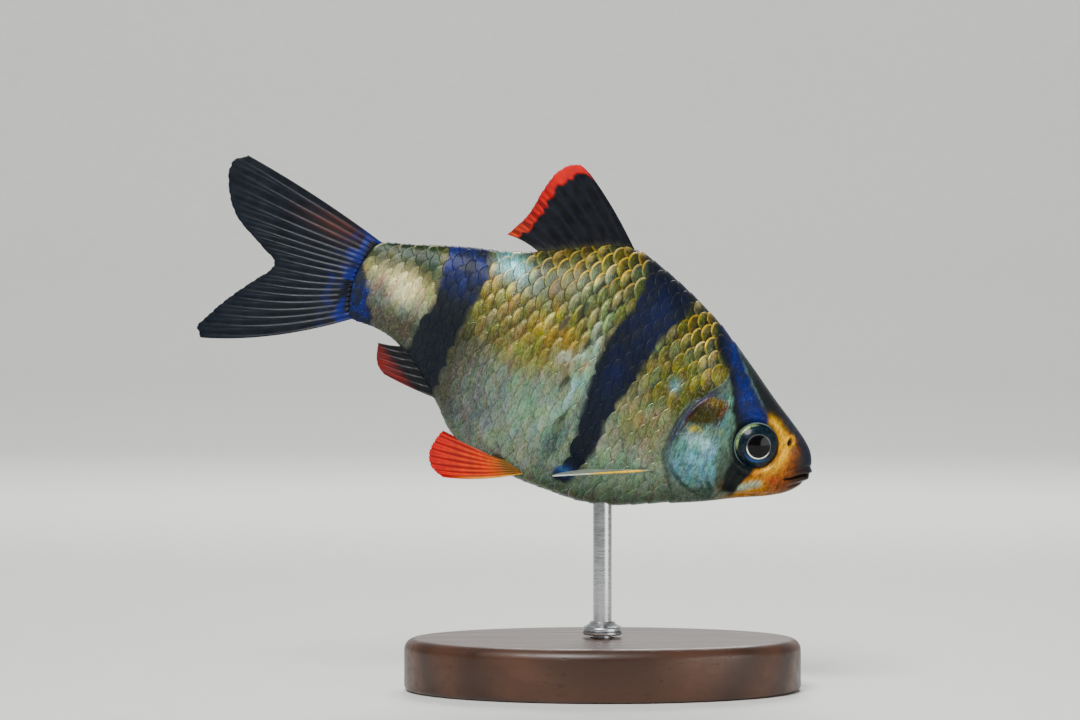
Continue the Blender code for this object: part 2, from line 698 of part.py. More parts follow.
def round_bar(name, profile, sides=20, material=None, centre=ROD_X):
    """A turned upright piece from (radius, z) points, bottom to top."""
    points = [(centre * MM, 0.0, profile[0][1] * MM)]
    for radius, z in profile:
        for j in range(sides):
            turn = 2 * math.pi * j / sides
            points.append(((centre + radius * math.cos(turn)) * MM, radius * math.sin(turn) * MM, z * MM))
    points.append((centre * MM, 0.0, profile[-1][1] * MM))
    faces = [(0, 1 + (j + 1) % sides, 1 + j) for j in range(sides)]
    for i in range(len(profile) - 1):
        a, b = 1 + i * sides, 1 + (i + 1) * sides
        faces += [(a + j, a + (j + 1) % sides, b + (j + 1) % sides, b + j) for j in range(sides)]
    end, last = len(points) - 1, 1 + (len(profile) - 1) * sides
    faces += [(end, last + j, last + (j + 1) % sides) for j in range(sides)]
    return link(name, points, faces, material)


def make_stand_rod():
    foot = BASE_HEIGHT - ROD_SOCKET
    collar = BASE_HEIGHT + GAP
    profile = [
        (ROD_RADIUS, foot),
        (ROD_RADIUS, collar),
        (FERRULE_RADIUS, collar),
        (FERRULE_RADIUS, collar + FERRULE_HEIGHT * 0.6),
        (ROD_RADIUS + 0.35, collar + FERRULE_HEIGHT),
        (ROD_RADIUS, collar + FERRULE_HEIGHT),
        (ROD_RADIUS, rod_top() - 0.4),
        (ROD_RADIUS * 0.6, rod_top()),
    ]
    rod = round_bar("stand_rod", profile, material="stand_steel")
    smooth(rod)
    return rod


def make_stand_base():
    """An oval plinth with a rounded upper edge and a blind hole for the rod."""
    around = 44
    levels = [(0.0, 0.5), (0.5, 0.0)]
    for turn in np.linspace(0.0, math.pi / 2, 5):
        levels.append((BASE_HEIGHT - BASE_EDGE * (1 - math.sin(turn)), BASE_EDGE * (1 - math.cos(turn))))
    points = []
    for z, inset in levels:
        for j in range(around):
            turn = 2 * math.pi * j / around
            x = ROD_X + (BASE_LENGTH / 2 - inset) * math.cos(turn)
            y = (BASE_WIDTH / 2 - inset) * math.sin(turn)
            points.append((x * MM, y * MM, z * MM))
    faces = [tuple(range(around))]
    for i in range(len(levels) - 1):
        a, b = i * around, (i + 1) * around
        faces += [(a + j, a + (j + 1) % around, b + (j + 1) % around, b + j) for j in range(around)]
    faces.append(tuple(range((len(levels) - 1) * around, len(levels) * around)))
    base = link("stand_base", points, faces, "stand_wood")
    reach = BASE_HEIGHT - ROD_SOCKET - GAP
    hole = round_bar("base_hole", [(ROD_RADIUS + GAP, reach), (ROD_RADIUS + GAP, BASE_HEIGHT + 1.0)])
    combine(base, [hole], "DIFFERENCE")
    smooth(base)
    return base


def main():
    clear_scene()
    make_head()
    make_trunk()
    make_tail_stalk()
    for side, word in ((-1, "right"), (1, "left")):
        gill_cover(f"gill_cover_{word}", side)
        smooth(eye_ball(f"eye_{word}", side, material="eye"))
        make_pectoral_fin(f"pectoral_fin_{word}", side)
        make_pelvic_fin(f"pelvic_fin_{word}", side)
    fin_on_line("dorsal_fin", DORSAL_BASE, DORSAL_RIM, DORSAL_RAYS, BACK_LINE, -0.4, 0.35, 7, "black_fin")
    fin_on_line("anal_fin", ANAL_BASE, ANAL_RIM, ANAL_RAYS, BELLY_LINE, 0.35, -0.15, 6, "dusky_fin")
    make_caudal_fin()
    make_stand_rod()
    make_stand_base()


main()
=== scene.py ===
"""The looks of a life-size tiger barb model on its stand.

The fish has its own frame, as in the part's source: s runs back from the snout along the body
axis, h runs up from that axis and y to the fish's left, in millimetres. Lengths in bpy.props are
in metres, and MM turns millimetres into metres.
"""

import math
from typing import NamedTuple

import bpy
import numpy as np
from bpy.props import FloatProperty, FloatVectorProperty, IntProperty, PointerProperty
from bpy.types import Operator, Panel, PropertyGroup
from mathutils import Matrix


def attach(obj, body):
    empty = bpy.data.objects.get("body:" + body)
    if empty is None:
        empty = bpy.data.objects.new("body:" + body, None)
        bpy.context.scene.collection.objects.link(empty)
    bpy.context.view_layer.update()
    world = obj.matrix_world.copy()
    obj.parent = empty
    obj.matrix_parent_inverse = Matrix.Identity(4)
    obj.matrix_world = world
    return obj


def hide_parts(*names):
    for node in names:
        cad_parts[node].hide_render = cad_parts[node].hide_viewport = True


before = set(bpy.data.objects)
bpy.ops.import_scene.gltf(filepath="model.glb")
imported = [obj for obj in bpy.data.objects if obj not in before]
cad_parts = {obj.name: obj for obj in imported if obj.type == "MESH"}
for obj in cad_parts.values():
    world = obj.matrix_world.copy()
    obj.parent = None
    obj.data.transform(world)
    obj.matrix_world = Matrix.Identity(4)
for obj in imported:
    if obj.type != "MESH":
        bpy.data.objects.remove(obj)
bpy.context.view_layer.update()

bl_info = {
    "name": "Tiger Barb",
    "version": (1, 0, 0),
    "blender": (4, 5, 0),
    "location": "3D View > Sidebar > Tiger Barb",
    "description": "Skin, scales, eyes, fins and stand of a life-size tiger barb model",
    "category": "Object",
}

MM = 0.001
BODY = "root"
# The side of the fish as the sign of y, and the word for it in names
SIDES = ((-1, "right"), (1, "left"))

# Pose and build of the solids that the looks follow
STANDARD_LENGTH = 46.0
PITCH = math.radians(22.0)
SNOUT_X, SNOUT_Z = 29.3, 21.9
BEND_START, BEND_END, BEND_SWEEP = 19.0, 62.0, 3.6
NOSE = -0.55
BACK_LINE = [
    (NOSE, -1.0), (-0.4, -0.1), (0.0, 0.75), (1.0, 1.75), (2.5, 2.75), (5.0, 4.25), (9.0, 6.85),
    (13.0, 9.3), (17.0, 11.05), (20.0, 12.1), (22.8, 12.75), (25.0, 12.3), (28.0, 10.85),
    (31.3, 9.1), (34.5, 7.85), (38.0, 6.85), (42.0, 5.5), (44.5, 4.65), (STANDARD_LENGTH, 4.3),
]
BELLY_LINE = [
    (NOSE, -1.0), (-0.43, -1.75), (0.0, -2.6), (1.0, -3.65), (2.5, -4.6), (5.0, -5.8),
    (8.0, -7.4), (12.0, -9.25), (16.0, -11.05), (19.0, -11.8), (22.0, -11.95), (25.4, -12.0),
    (28.0, -11.75), (31.0, -11.1), (33.2, -10.0), (35.0, -8.3), (37.0, -6.7), (39.0, -5.3),
    (41.0, -4.2), (43.0, -3.75), (STANDARD_LENGTH, -3.85),
]
HALF_WIDTH = [
    (NOSE, 0.0), (-0.4, 0.65), (0.05, 1.15), (1.0, 1.75), (2.5, 2.4), (5.0, 3.05), (8.0, 3.55),
    (12.0, 4.0), (16.0, 4.35), (20.0, 4.45), (24.0, 4.35), (28.0, 3.85), (32.0, 3.1),
    (36.0, 2.3), (40.0, 1.6), (43.0, 1.15), (STANDARD_LENGTH, 0.75),
]
BACK_KEEL = [
    (NOSE, 0.5), (9.0, 0.52), (16.0, 0.6), (22.0, 0.66), (30.0, 0.6), (40.0, 0.52), (STANDARD_LENGTH, 0.5),
]
BELLY_KEEL = [
    (NOSE, 0.5), (6.0, 0.56), (14.0, 0.52), (24.0, 0.48), (34.0, 0.56), (STANDARD_LENGTH, 0.5),
]
TAIL_ROUNDING, TAIL_ROUNDING_START = 0.9, 41.0

# Features of the head: the eyes and the gill cover's outline as in the part's source, the rest finer
EYE_CENTRE = (5.4, -0.48)
EYE_RADIUS, EYE_DEPTH, EYE_OUT = 2.3, 1.5, 2.17
EYE_TURN = math.radians(11.0)
NOSTRIL, NOSTRIL_REACH = (2.45, 1.0), (0.75, 1.15)
LID_RADIUS, LID_FOLD_RADIUS = 2.75, 3.3
MOUTH_LINE = [(-1.2, -0.85), (-0.5, -1.12), (0.2, -1.5), (0.9, -2.02), (1.75, -2.6)]
MOUTH_CREASE = [(1.75, -2.6), (2.1, -3.1), (1.95, -3.6)]
CHIN_LINE = [(1.4, -3.9), (3.4, -4.75), (5.6, -5.6), (7.6, -6.35)]
JAW_STRIP = [(2.9, -3.5), (3.9, -3.85), (5.0, -4.6), (6.2, -5.6), (7.6, -6.7)]
GILL_COVER = [
    (9.5, 3.2), (11.1, 2.5), (12.2, 1.2), (12.8, -0.4), (13.1, -2.4), (12.95, -4.1),
    (12.1, -5.5), (10.8, -6.4), (9.1, -6.85), (7.8, -6.4), (7.6, -5.0), (8.3, -3.4),
    (8.75, -1.8), (8.8, -0.2), (8.8, 1.5), (8.9, 2.8),
]
GILL_COVER_PROUD = 0.26
CHEEK_LINE = [(9.75, 2.6), (9.6, 0.8), (9.55, -1.2), (9.25, -3.2), (8.5, -4.9), (7.5, -5.9)]
# Stations where the scales begin, against the height: (h, s)
SCALE_FRONT = [
    (-13.0, 10.6), (-9.0, 10.8), (-7.2, 11.6), (-6.2, 12.5), (-4.6, 13.45), (-2.4, 13.6), (-0.4, 13.3),
    (1.2, 12.7), (2.6, 11.5), (3.6, 10.7), (6.0, 10.3), (8.0, 10.9), (13.0, 11.5),
]

# Dark bands: stations of the front and the rear edge against the height, (h, s)
BANDS = {
    "eye": (
        [
            (-7.0, 5.7), (-5.1, 5.6), (-3.9, 5.2), (-2.6, 4.6), (0.3, 4.4), (2.0, 5.2), (3.5, 6.5),
            (4.9, 8.0), (6.6, 9.7), (9.0, 11.1),
        ],
        [
            (-7.0, 7.0), (-5.1, 7.05), (-3.8, 7.3), (-2.4, 7.3), (0.3, 7.9), (2.0, 8.8), (3.5, 9.6),
            (4.9, 10.4), (6.6, 11.9), (9.0, 13.2),
        ],
    ),
    "shoulder": (
        [
            (-11.0, 20.4), (-8.0, 19.4), (-2.4, 19.0), (-0.3, 18.4), (1.8, 18.0), (4.7, 17.5),
            (7.5, 16.4), (9.6, 15.7), (12.5, 15.0),
        ],
        [
            (-11.0, 21.5), (-8.9, 21.6), (-2.1, 22.1), (1.7, 22.2), (4.6, 21.9), (8.2, 20.8),
            (10.7, 21.0), (12.5, 21.6),
        ],
    ),
    "hip": (
        [
            (-9.5, 35.0), (-6.5, 35.5), (-4.3, 35.6), (-2.0, 35.5), (0.4, 35.1), (2.1, 35.0),
            (4.8, 35.0), (7.1, 35.5), (8.5, 35.8),
        ],
        [
            (-9.5, 41.5), (-6.5, 40.9), (-4.5, 39.7), (-1.6, 39.3), (0.5, 38.9), (3.7, 39.1),
            (5.5, 39.4), (8.5, 39.9),
        ],
    ),
    "tail": (
        [(-5.0, 42.9), (-3.1, 43.7), (0.0, 45.2), (3.2, 46.9), (5.0, 47.9)],
        [(-5.0, 46.0), (-3.1, 46.7), (0.0, 47.6), (3.2, 48.8), (5.0, 49.9)],
    ),
}

# Fins, as in the part's source, with rows of points along each ray and columns between two rays
RAY_ROOT_SINK = 1.1
FIN_ROWS, ROOT_ROWS = 64, 6
GAP_COLUMNS = 12
DORSAL_BASE = (22.9, 31.4)
DORSAL_RIM = [(29.7, 17.75), (31.1, 18.2), (32.5, 17.05), (33.3, 14.6), (33.7, 12.0), (34.9, 9.35)]
DORSAL_RAYS = 10
ANAL_BASE = (35.3, 40.2)
ANAL_RIM = [(40.9, -7.5), (41.7, -6.95), (42.15, -6.2), (42.35, -5.5), (42.5, -4.9)]
ANAL_RAYS = 7
CAUDAL_ROOT_HEIGHT = (4.15, -3.75)
CAUDAL_UPPER_RIM = [(61.2, 7.2), (62.4, 6.1), (61.8, 3.6), (60.0, 1.3), (57.4, -0.1), (54.9, -1.35)]
CAUDAL_LOWER_RIM = [(54.9, -2.3), (56.2, -4.1), (57.8, -6.5), (59.0, -8.8), (59.5, -10.2), (58.8, -10.95)]
CAUDAL_UPPER_RAYS, CAUDAL_LOWER_RAYS = 10, 9
CAUDAL_BOW = (0.3, -0.85)
PELVIC_ROOT = [(25.9, -11.75), (27.5, -10.9)]
PELVIC_RIM = [(31.9, -14.35), (33.2, -13.85), (33.85, -12.9), (33.9, -11.7), (33.6, -10.5)]
PELVIC_OUT = ((1.35, 3.9), (1.5, 3.5))
PELVIC_RAYS = 8
PECTORAL_ROOT = (13.5, -6.25)
PECTORAL_ROOT_WIDTH = 1.5
PECTORAL_LENGTH = (10.3, 5.6)
PECTORAL_SPREAD = (math.radians(20.0), math.radians(11.0))
PECTORAL_DROOP = math.radians(7.0)
PECTORAL_RAYS = 10

# Stand: base and rod as in the part's source. The rod goes on into the belly, and its collar is finer
BASE_LENGTH, BASE_WIDTH, BASE_HEIGHT, BASE_EDGE = 38.0, 25.0, 5.0, 1.1
ROD_X, ROD_RADIUS, ROD_SOCKET, ROD_TOP = 9.6, 0.9, 2.4, 17.6
ROD_IN_BELLY, ROD_ROUNDING = 0.9, 0.4
SOCKET_CLEARANCE = 0.3
COLLAR_RADIUS, COLLAR_HEIGHT = 1.9, 1.3

# Scales: length in spacings, half width in row heights, the share of the length ahead of the root's
# station, and the plate's thickness in millimetres
SCALE_LENGTH, SCALE_HALF_WIDTH, SCALE_AHEAD, SCALE_THICKNESS = 1.78, 0.62, 0.2, 0.02
# Stations of the first and the last scales, and rows above and below the middle line
FIRST_SCALES, LAST_SCALES, SCALE_ROWS = 9.2, STANDARD_LENGTH - 0.9, 9
# The body's greatest depth, and the depth from which the scales are spaced in full
GREATEST_DEPTH, FULL_SPACING_DEPTH = 24.7, 18.0
# A scale's outline, in shares of its length: steps towards the free edge, points across, where the
# free edge starts at the sides, how round it is, and half the width
PLATE_STEPS, PLATE_COLUMNS = [0.0, 0.3, 0.52, 0.68, 0.8, 0.89, 0.955, 1.0], 11
PLATE_SHOULDER, PLATE_ROUNDNESS, PLATE_HALF_WIDTH = 0.46, 2.3, 0.54


def linear(red, green, blue):
    """A colour from 0 to 255 as seen on a screen, as linear light."""
    seen = np.array([red, green, blue], float) / 255
    return np.where(seen <= 0.04045, seen / 12.92, ((seen + 0.055) / 1.055) ** 2.4)


def colour_property(name, description, red, green, blue):
    return FloatVectorProperty(
        name=name,
        description=description,
        subtype="COLOR",
        size=3,
        min=0.0,
        max=1.0,
        default=tuple(linear(red, green, blue)),
    )


class BarbShape(PropertyGroup):
    """Sizes of the fish's surface."""

    coat_depth: FloatProperty(
        name="Coat depth", description="How far the skin lies under the tops of the scales",
        default=0.16 * MM, min=0.0, unit="LENGTH",
    )
    scale_spacing: FloatProperty(
        name="Scale spacing", description="From one scale to the next in a row along the body",
        default=1.5 * MM, min=0.5 * MM, unit="LENGTH",
    )
    scale_height: FloatProperty(
        name="Scale height", description="From one row of scales to the next, where the body is deepest",
        default=2.4 * MM, min=0.5 * MM, unit="LENGTH",
    )
    skin_stations: IntProperty(
        name="Skin stations", description="Rings of points from the snout to the tail", default=430, min=60,
    )
    skin_ring: IntProperty(
        name="Skin ring", description="Points down one side of a ring", default=104, min=20,
    )
    membrane: FloatProperty(
        name="Fin membrane", description="Thickness of the skin between the fin rays",
        default=0.09 * MM, min=0.02 * MM, unit="LENGTH",
    )


class BarbColours(PropertyGroup):
    """Colours of the fish and of its stand."""

    silver: colour_property("Silver", "Lower flank between the bands", 146, 156, 142)
    olive: colour_property("Olive", "Back above the flank", 88, 90, 46)
    gold: colour_property("Gold", "Middle of the flank", 192, 168, 88)
    cream: colour_property("Cream", "Pale middle of the tail stalk", 250, 236, 196)
    band: colour_property("Band", "Dark bands", 3, 8, 20)
    band_blue: colour_property("Band blue", "Blue light on the dark bands", 2, 28, 116)
    orange: colour_property("Orange", "Snout", 206, 138, 52)
    scarlet: colour_property("Scarlet", "Red fins and the dorsal fin's margin", 208, 10, 2)
    smoke: colour_property("Smoke", "Dark membrane of the tail fin", 5, 12, 21)
    wood: colour_property("Wood", "Stand's base", 64, 38, 24)
    steel: colour_property("Steel", "Stand's rod", 196, 197, 200)


class BarbStage(PropertyGroup):
    """Floor, camera and lights."""

    floor: colour_property("Floor", "Pale floor and wall", 226, 226, 222)
    lens: FloatProperty(
        name="Lens", description="Focal length in millimetres", default=100.0, min=20.0,
    )
    distance: FloatProperty(
        name="Camera distance", description="From the camera to the fish's middle plane",
        default=287.5 * MM, min=0.05, unit="LENGTH",
    )
    key_power: FloatProperty(name="Key light", description="Power in watts", default=4.2, min=0.0)
    fill_power: FloatProperty(name="Fill light", description="Power in watts", default=1.1, min=0.0)
    wall_power: FloatProperty(name="Wall light", description="Power in watts", default=7.0, min=0.0)


# Curves and blends


def through(points, at):
    """Smooth curve through (x, value) points, read at the x values in at."""
    x, v = np.array(points, float).T
    slope = np.gradient(v, x)
    at = np.clip(np.asarray(at, float), x[0], x[-1])
    i = np.clip(np.searchsorted(x, at, side="right") - 1, 0, len(x) - 2)
    step = x[i + 1] - x[i]
    t = (at - x[i]) / step
    return (
        (2 * t**3 - 3 * t**2 + 1) * v[i]
        + (t**3 - 2 * t**2 + t) * step * slope[i]
        + (3 * t**2 - 2 * t**3) * v[i + 1]
        + (t**3 - t**2) * step * slope[i + 1]
    )


def along_body(points, s):
    rooted = [(math.sqrt(x - NOSE), v) for x, v in points]
    return through(rooted, np.sqrt(np.maximum(np.asarray(s, float) - NOSE, 0.0)))


def along_rim(points, shares):
    rim = np.array(points, float)
    steps = np.linalg.norm(np.diff(rim, axis=0), axis=1)
    way = np.concatenate([[0.0], np.cumsum(steps)]) / steps.sum()
    return np.stack([through(np.stack([way, rim[:, axis]], 1), shares) for axis in (0, 1)], 1)


def rounded(corners, count):
    """That many points round a smooth closed curve through the corners."""
    ring = np.array([*corners[-2:], *corners, *corners[:2]], float)
    at = np.linspace(2.0, 2.0 + len(corners), count, endpoint=False)
    place = np.arange(len(ring))
    return np.stack([through(np.stack([place, ring[:, axis]], 1), at) for axis in (0, 1)], 1)


def ramp(value, low, high):
    """0 below low and 1 above high, smooth between. It runs down where high is under low."""
    t = np.clip((value - low) / (high - low), 0.0, 1.0)
    return t * t * (3 - 2 * t)


def bell(value, width):
    return np.exp(-((value / width) ** 2))


def blot(s, h, centre, size, lean=0.0):
    """A soft oval patch: 1 at its centre. lean moves its top back, in millimetres a millimetre."""
    up = h - centre[1]
    along = s - centre[0] - lean * up
    return np.exp(-((along / size[0]) ** 2) - (up / size[1]) ** 2)


def lattice_noise(a, b, size, seed):
    """Smooth noise from -1 to 1 over two coordinates, with features of that size."""
    draw = np.random.default_rng(seed).uniform(-1.0, 1.0, (64, 64))
    a, b = np.asarray(a, float) / size + 17.3, np.asarray(b, float) / size + 29.1
    i, j = np.floor(a).astype(int), np.floor(b).astype(int)
    u, v = a - i, b - j
    u, v = u * u * (3 - 2 * u), v * v * (3 - 2 * v)
    low = draw[i % 64, j % 64] * (1 - u) + draw[(i + 1) % 64, j % 64] * u
    high = draw[i % 64, (j + 1) % 64] * (1 - u) + draw[(i + 1) % 64, (j + 1) % 64] * u
    return low * (1 - v) + high * v


def line_distance(s, h, line, closed=False):
    """Distance from points to a line of (s, h) corners, and the share of the way along it."""
    corners = np.array(line, float)
    ends = np.roll(corners, -1, axis=0) if closed else corners[1:]
    starts = corners if closed else corners[:-1]
    best = np.full(np.shape(s), 1e9)
    where = np.zeros(np.shape(s))
    for i, (start, end) in enumerate(zip(starts, ends)):
        run = end - start
        t = np.clip(((s - start[0]) * run[0] + (h - start[1]) * run[1]) / (run @ run), 0.0, 1.0)
        far = np.hypot(s - start[0] - t * run[0], h - start[1] - t * run[1])
        nearer = far < best
        where = np.where(nearer, (i + t) / len(starts), where)
        best = np.where(nearer, far, best)
    return best, where


def inside(s, h, outline):
    """True where a point lies inside a closed outline."""
    within = np.zeros(np.shape(s), bool)
    corners = np.array(outline, float)
    for (s0, h0), (s1, h1) in zip(corners, np.roll(corners, -1, axis=0)):
        crosses = (h0 > h) != (h1 > h)
        reach = s0 + (s1 - s0) * (h - h0) / (h1 - h0 if h1 != h0 else 1e-9)
        within ^= crosses & (s < reach)
    return within


# The body


def sweep(s):
    t = np.clip((np.asarray(s, float) - BEND_START) / (BEND_END - BEND_START), 0.0, 2.0)
    return BEND_SWEEP * t**2


def to_world(points):
    """(s, y, h) in millimetres to the model's own metres."""
    s, y, h = np.moveaxis(np.asarray(points, float), -1, 0)
    x = SNOUT_X - s * math.cos(PITCH) + h * math.sin(PITCH)
    z = SNOUT_Z + s * math.sin(PITCH) + h * math.cos(PITCH)
    return np.stack([x, y + sweep(s), z], -1) * MM


def side_width(s, h):
    top, bottom = along_body(BACK_LINE, s), along_body(BELLY_LINE, s)
    middle = (top + bottom) / 2
    above = h > middle
    reach = np.maximum(np.where(above, top - middle, middle - bottom), 0.001)
    t = np.clip(np.abs(h - middle) / reach, 0.0, 1.0)
    keel = np.where(above, along_body(BACK_KEEL, s), along_body(BELLY_KEEL, s))
    return along_body(HALF_WIDTH, s) * (1 - t**2) ** keel


def flank(s, angle):
    """Points (s, y, h) of the left side at stations s, from the back at +90 degrees to the belly."""
    top, bottom = along_body(BACK_LINE, s), along_body(BELLY_LINE, s)
    middle = (top + bottom) / 2
    rise = np.where(angle > 0, top - middle, middle - bottom)
    keel = np.where(angle > 0, along_body(BACK_KEEL, s), along_body(BELLY_KEEL, s))
    round_off = np.maximum(np.cos(angle), 0.0)
    late = np.maximum(0.0, (s - TAIL_ROUNDING_START) / (STANDARD_LENGTH - TAIL_ROUNDING_START))
    back = s + TAIL_ROUNDING * late * round_off**2
    out = along_body(HALF_WIDTH, s) * round_off ** (2 * keel)
    return np.stack([back, out, middle + rise * np.sin(angle)], -1)


def scaled(s, h):
    """1 where the body carries scales, 0 on the head."""
    return ramp(s - through(SCALE_FRONT, h), -0.25, 0.25)


def eye_distance(s, h):
    return np.hypot(s - EYE_CENTRE[0], h - EYE_CENTRE[1])


def gill_cover_edge(s, h):
    """Distance to the gill cover's outline, and whether a point lies inside it."""
    outline = rounded(GILL_COVER, 64)
    edge, _ = line_distance(s, h, outline, closed=True)
    return edge, inside(s, h, outline)


def nostril_distance(s, h):
    """0 at the nostril's middle and 1 at its reach."""
    return np.hypot((s - NOSTRIL[0]) / NOSTRIL_REACH[0], (h - NOSTRIL[1]) / NOSTRIL_REACH[1])


def gill_cover_relief(s, h):
    """The cover is raised, with a free rear edge over a groove, and level with the cheek in front."""
    edge, within = gill_cover_edge(s, h)
    free = np.maximum(ramp(s, 9.9, 11.3), ramp(h, -5.4, -6.3) * ramp(s, 8.0, 9.4))
    swell = free * ramp(edge, 0.0, 0.22) + (1 - free) * ramp(edge, 0.0, 1.9)
    groove = 0.16 * bell(edge - 0.1, 0.14) * free
    # Low ribs fan out over the cover from its upper front corner
    fan = np.arctan2(h - 2.2, s - 9.4)
    ribs = 0.018 * np.sin(26.0 * fan) * ramp(edge, 0.3, 1.0) * ramp(s, 9.2, 10.6)
    return np.where(within, GILL_COVER_PROUD * swell + ribs, -groove)


def mouth_relief(s, h):
    """The upper and the lower lip on either side of a cut, and a crease behind the corner."""
    far, way = line_distance(s, h, MOUTH_LINE)
    above = h > through([*MOUTH_LINE, (2.6, -3.2)], s)
    lip = ramp(way, 0.99, 0.8)
    rise = np.where(above, 0.2, 0.17) * bell(far - 0.3, 0.2) * lip
    rise -= 0.3 * bell(far, 0.075) * ramp(way, 1.0, 0.93) + 0.07 * bell(far - 0.72, 0.12) * lip
    crease, _ = line_distance(s, h, MOUTH_CREASE)
    return rise - 0.08 * bell(crease, 0.13)


def relief(s, h):
    """How far the skin stands off the plain body, in millimetres."""
    coat = bpy.context.scene.barb_shape.coat_depth / MM
    rise = gill_cover_relief(s, h) + mouth_relief(s, h) - coat * scaled(s, h)
    # Ridge of the cheek's rear bone, the lid, the fold under the eye and the eye's socket
    far, way = line_distance(s, h, CHEEK_LINE)
    rise += 0.07 * bell(far, 0.28) * ramp(way, 0.0, 0.2) - 0.06 * bell(far - 0.45, 0.18)
    around = eye_distance(s, h)
    rise += 0.07 * bell(around - LID_RADIUS, 0.24)
    rise -= 0.05 * bell(around - LID_FOLD_RADIUS, 0.2) * ramp(h, 0.5, -1.5)
    rise -= 0.36 * ramp(around, 2.7, 2.2) + 1.2 * ramp(around, 2.2, 2.0)
    # Nostril: a pit inside a low rim
    pit = nostril_distance(s, h)
    rise += 0.11 * bell(pit - 0.46, 0.14) - 0.26 * ramp(pit, 0.4, 0.12)
    # Fleshy foot of the pectoral fin, and the lower jaw's edge
    rise += 0.2 * blot(s, h, (PECTORAL_ROOT[0] + 0.2, PECTORAL_ROOT[1] - 0.1), (0.9, 0.45))
    far, way = line_distance(s, h, CHIN_LINE)
    return rise - 0.07 * bell(far, 0.15) * ramp(way, 0.0, 0.2)


def skin_grid(stations, half_ring):
    """Points (s, y, h) of the whole body on a grid, the right side first, before its relief."""
    u = np.linspace(0.0, 1.0, stations + 1)[1:]
    closer_at_snout = 0.35 * u + 0.65 * u**1.7
    s = (NOSE + (STANDARD_LENGTH - NOSE) * closer_at_snout)[:, None]
    angle = np.linspace(math.pi / 2, -math.pi / 2, half_ring)[None, :]
    left = flank(s, angle)
    right = left * np.array([1.0, -1.0, 1.0])
    return np.concatenate([right, left[:, -2:0:-1]], axis=1)


def normals_of(grid):
    """Outward normals of a grid of points that closes on itself in its second direction."""
    along = np.gradient(grid, axis=0)
    across = (np.roll(grid, -1, axis=1) - np.roll(grid, 1, axis=1)) / 2
    normal = np.cross(across, along)
    normal /= np.maximum(np.linalg.norm(normal, axis=2), 1e-12)[:, :, None]
    return normal


# Markings


class Patch(NamedTuple):
    """A soft oval of paint: a named colour or one as seen, strength, centre (s, h), size and lean."""

    shade: object
    strength: float
    centre: tuple
    size: tuple
    lean: float = 0.0
    texture: tuple = ()  # what breaks the patch up: its name, the share that stays and the share that varies

    def amount(self, s, h, textures):
        spread = self.strength * blot(s, h, self.centre, self.size, self.lean)
        if self.texture:
            name, stays, varies = self.texture
            spread = spread * (stays + varies * textures[name])
        return spread


FLANK_PATCHES = {
    "golden middle": Patch("gold", 0.85, (27.8, 2.5), (3.6, 2.9), 0.0, ("mottle", 0.75, 0.4)),
    "tan middle": Patch((158, 124, 70), 0.6, (26.6, 1.6), (3.2, 1.8), 0.0, ("streaks", 0.7, 0.5)),
    "brown rear": Patch((118, 110, 82), 0.8, (31.6, 1.4), (2.8, 2.6)),
    "pale olive sweep": Patch((164, 162, 104), 0.75, (29.6, -0.6), (2.4, 1.4), 0.5),
    "green silver": Patch((150, 176, 156), 0.85, (25.5, -5.2), (4.4, 3.0), -0.3),
    "grey silver": Patch((122, 128, 132), 0.8, (31.4, -6.6), (2.8, 2.8)),
    "cyan front": Patch((168, 216, 208), 0.65, (23.4, 0.6), (0.7, 4.4), -0.05, ("streaks", 0.7, 0.7)),
    # Painted highlights: flashes of light on the flank behind the shoulder band
    "tall flash": Patch((214, 240, 232), 0.9, (23.3, 2.2), (0.4, 1.5), -0.1, ("streaks", 0.6, 0.6)),
    "round flash": Patch((214, 240, 232), 0.9, (25.1, 0.4), (0.8, 0.7), -0.1, ("streaks", 0.6, 0.6)),
    "amber flash": Patch((236, 186, 70), 0.8, (23.1, 0.5), (0.3, 0.6)),
    "dark back": Patch((46, 68, 42), 0.9, (29.2, 6.2), (3.6, 2.1)),
    "mossy back": Patch((66, 82, 50), 0.6, (25.6, 7.2), (1.6, 1.7)),
    "teal shadow": Patch((46, 78, 80), 0.8, (23.1, -7.2), (0.9, 2.6), -0.2),
    "olive nape": Patch((128, 126, 54), 0.85, (14.2, 3.0), (2.8, 3.8), 0.0, ("mottle", 0.85, 0.4)),
    "tan chest": Patch((142, 138, 98), 0.85, (16.4, -2.6), (2.8, 2.8)),
    "green chest": Patch((150, 176, 152), 0.85, (16.4, -8.4), (4.2, 2.4)),
}
STALK_PATCHES = {
    "cream middle": Patch("cream", 1.0, (42.2, 1.0), (2.7, 1.6), 0.2),
    "violet rear": Patch((116, 108, 122), 0.6, (44.2, -0.2), (1.5, 2.0)),
}
GILL_COVER_PATCHES = {
    "blue lower part": Patch((156, 212, 222), 0.9, (9.8, -4.0), (2.1, 2.0), 0.0, ("upright", 0.4, 0.7)),
    # Painted highlights on the silvery cover: white in the middle and blue-white in front
    "white highlight": Patch((216, 250, 250), 0.97, (10.5, -2.1), (1.5, 0.75), -0.3, ("flare", 0.5, 0.6)),
    "blue-white highlight": Patch((170, 206, 226), 0.85, (8.9, -2.3), (0.5, 1.1), -0.3, ("flare", 0.5, 0.6)),
    "yellow front": Patch((206, 198, 52), 0.8, (9.0, -0.5), (0.6, 0.35), -0.5, ("flare", 0.0, 1.0)),
}
# Ragged dark patches beside the shoulder band: centre and size
RAGGED_PATCHES = [
    ((24.4, -1.6), (0.5, 1.2)), ((23.6, 2.3), (0.35, 1.3)), ((25.2, 5.2), (0.45, 1.3)),
    ((23.2, -4.6), (0.3, 1.6)), ((24.6, 7.6), (0.3, 1.1)), ((26.4, 3.4), (0.25, 1.0)),
    ((16.6, 0.6), (0.3, 1.3)), ((17.2, 4.2), (0.3, 1.0)),
]
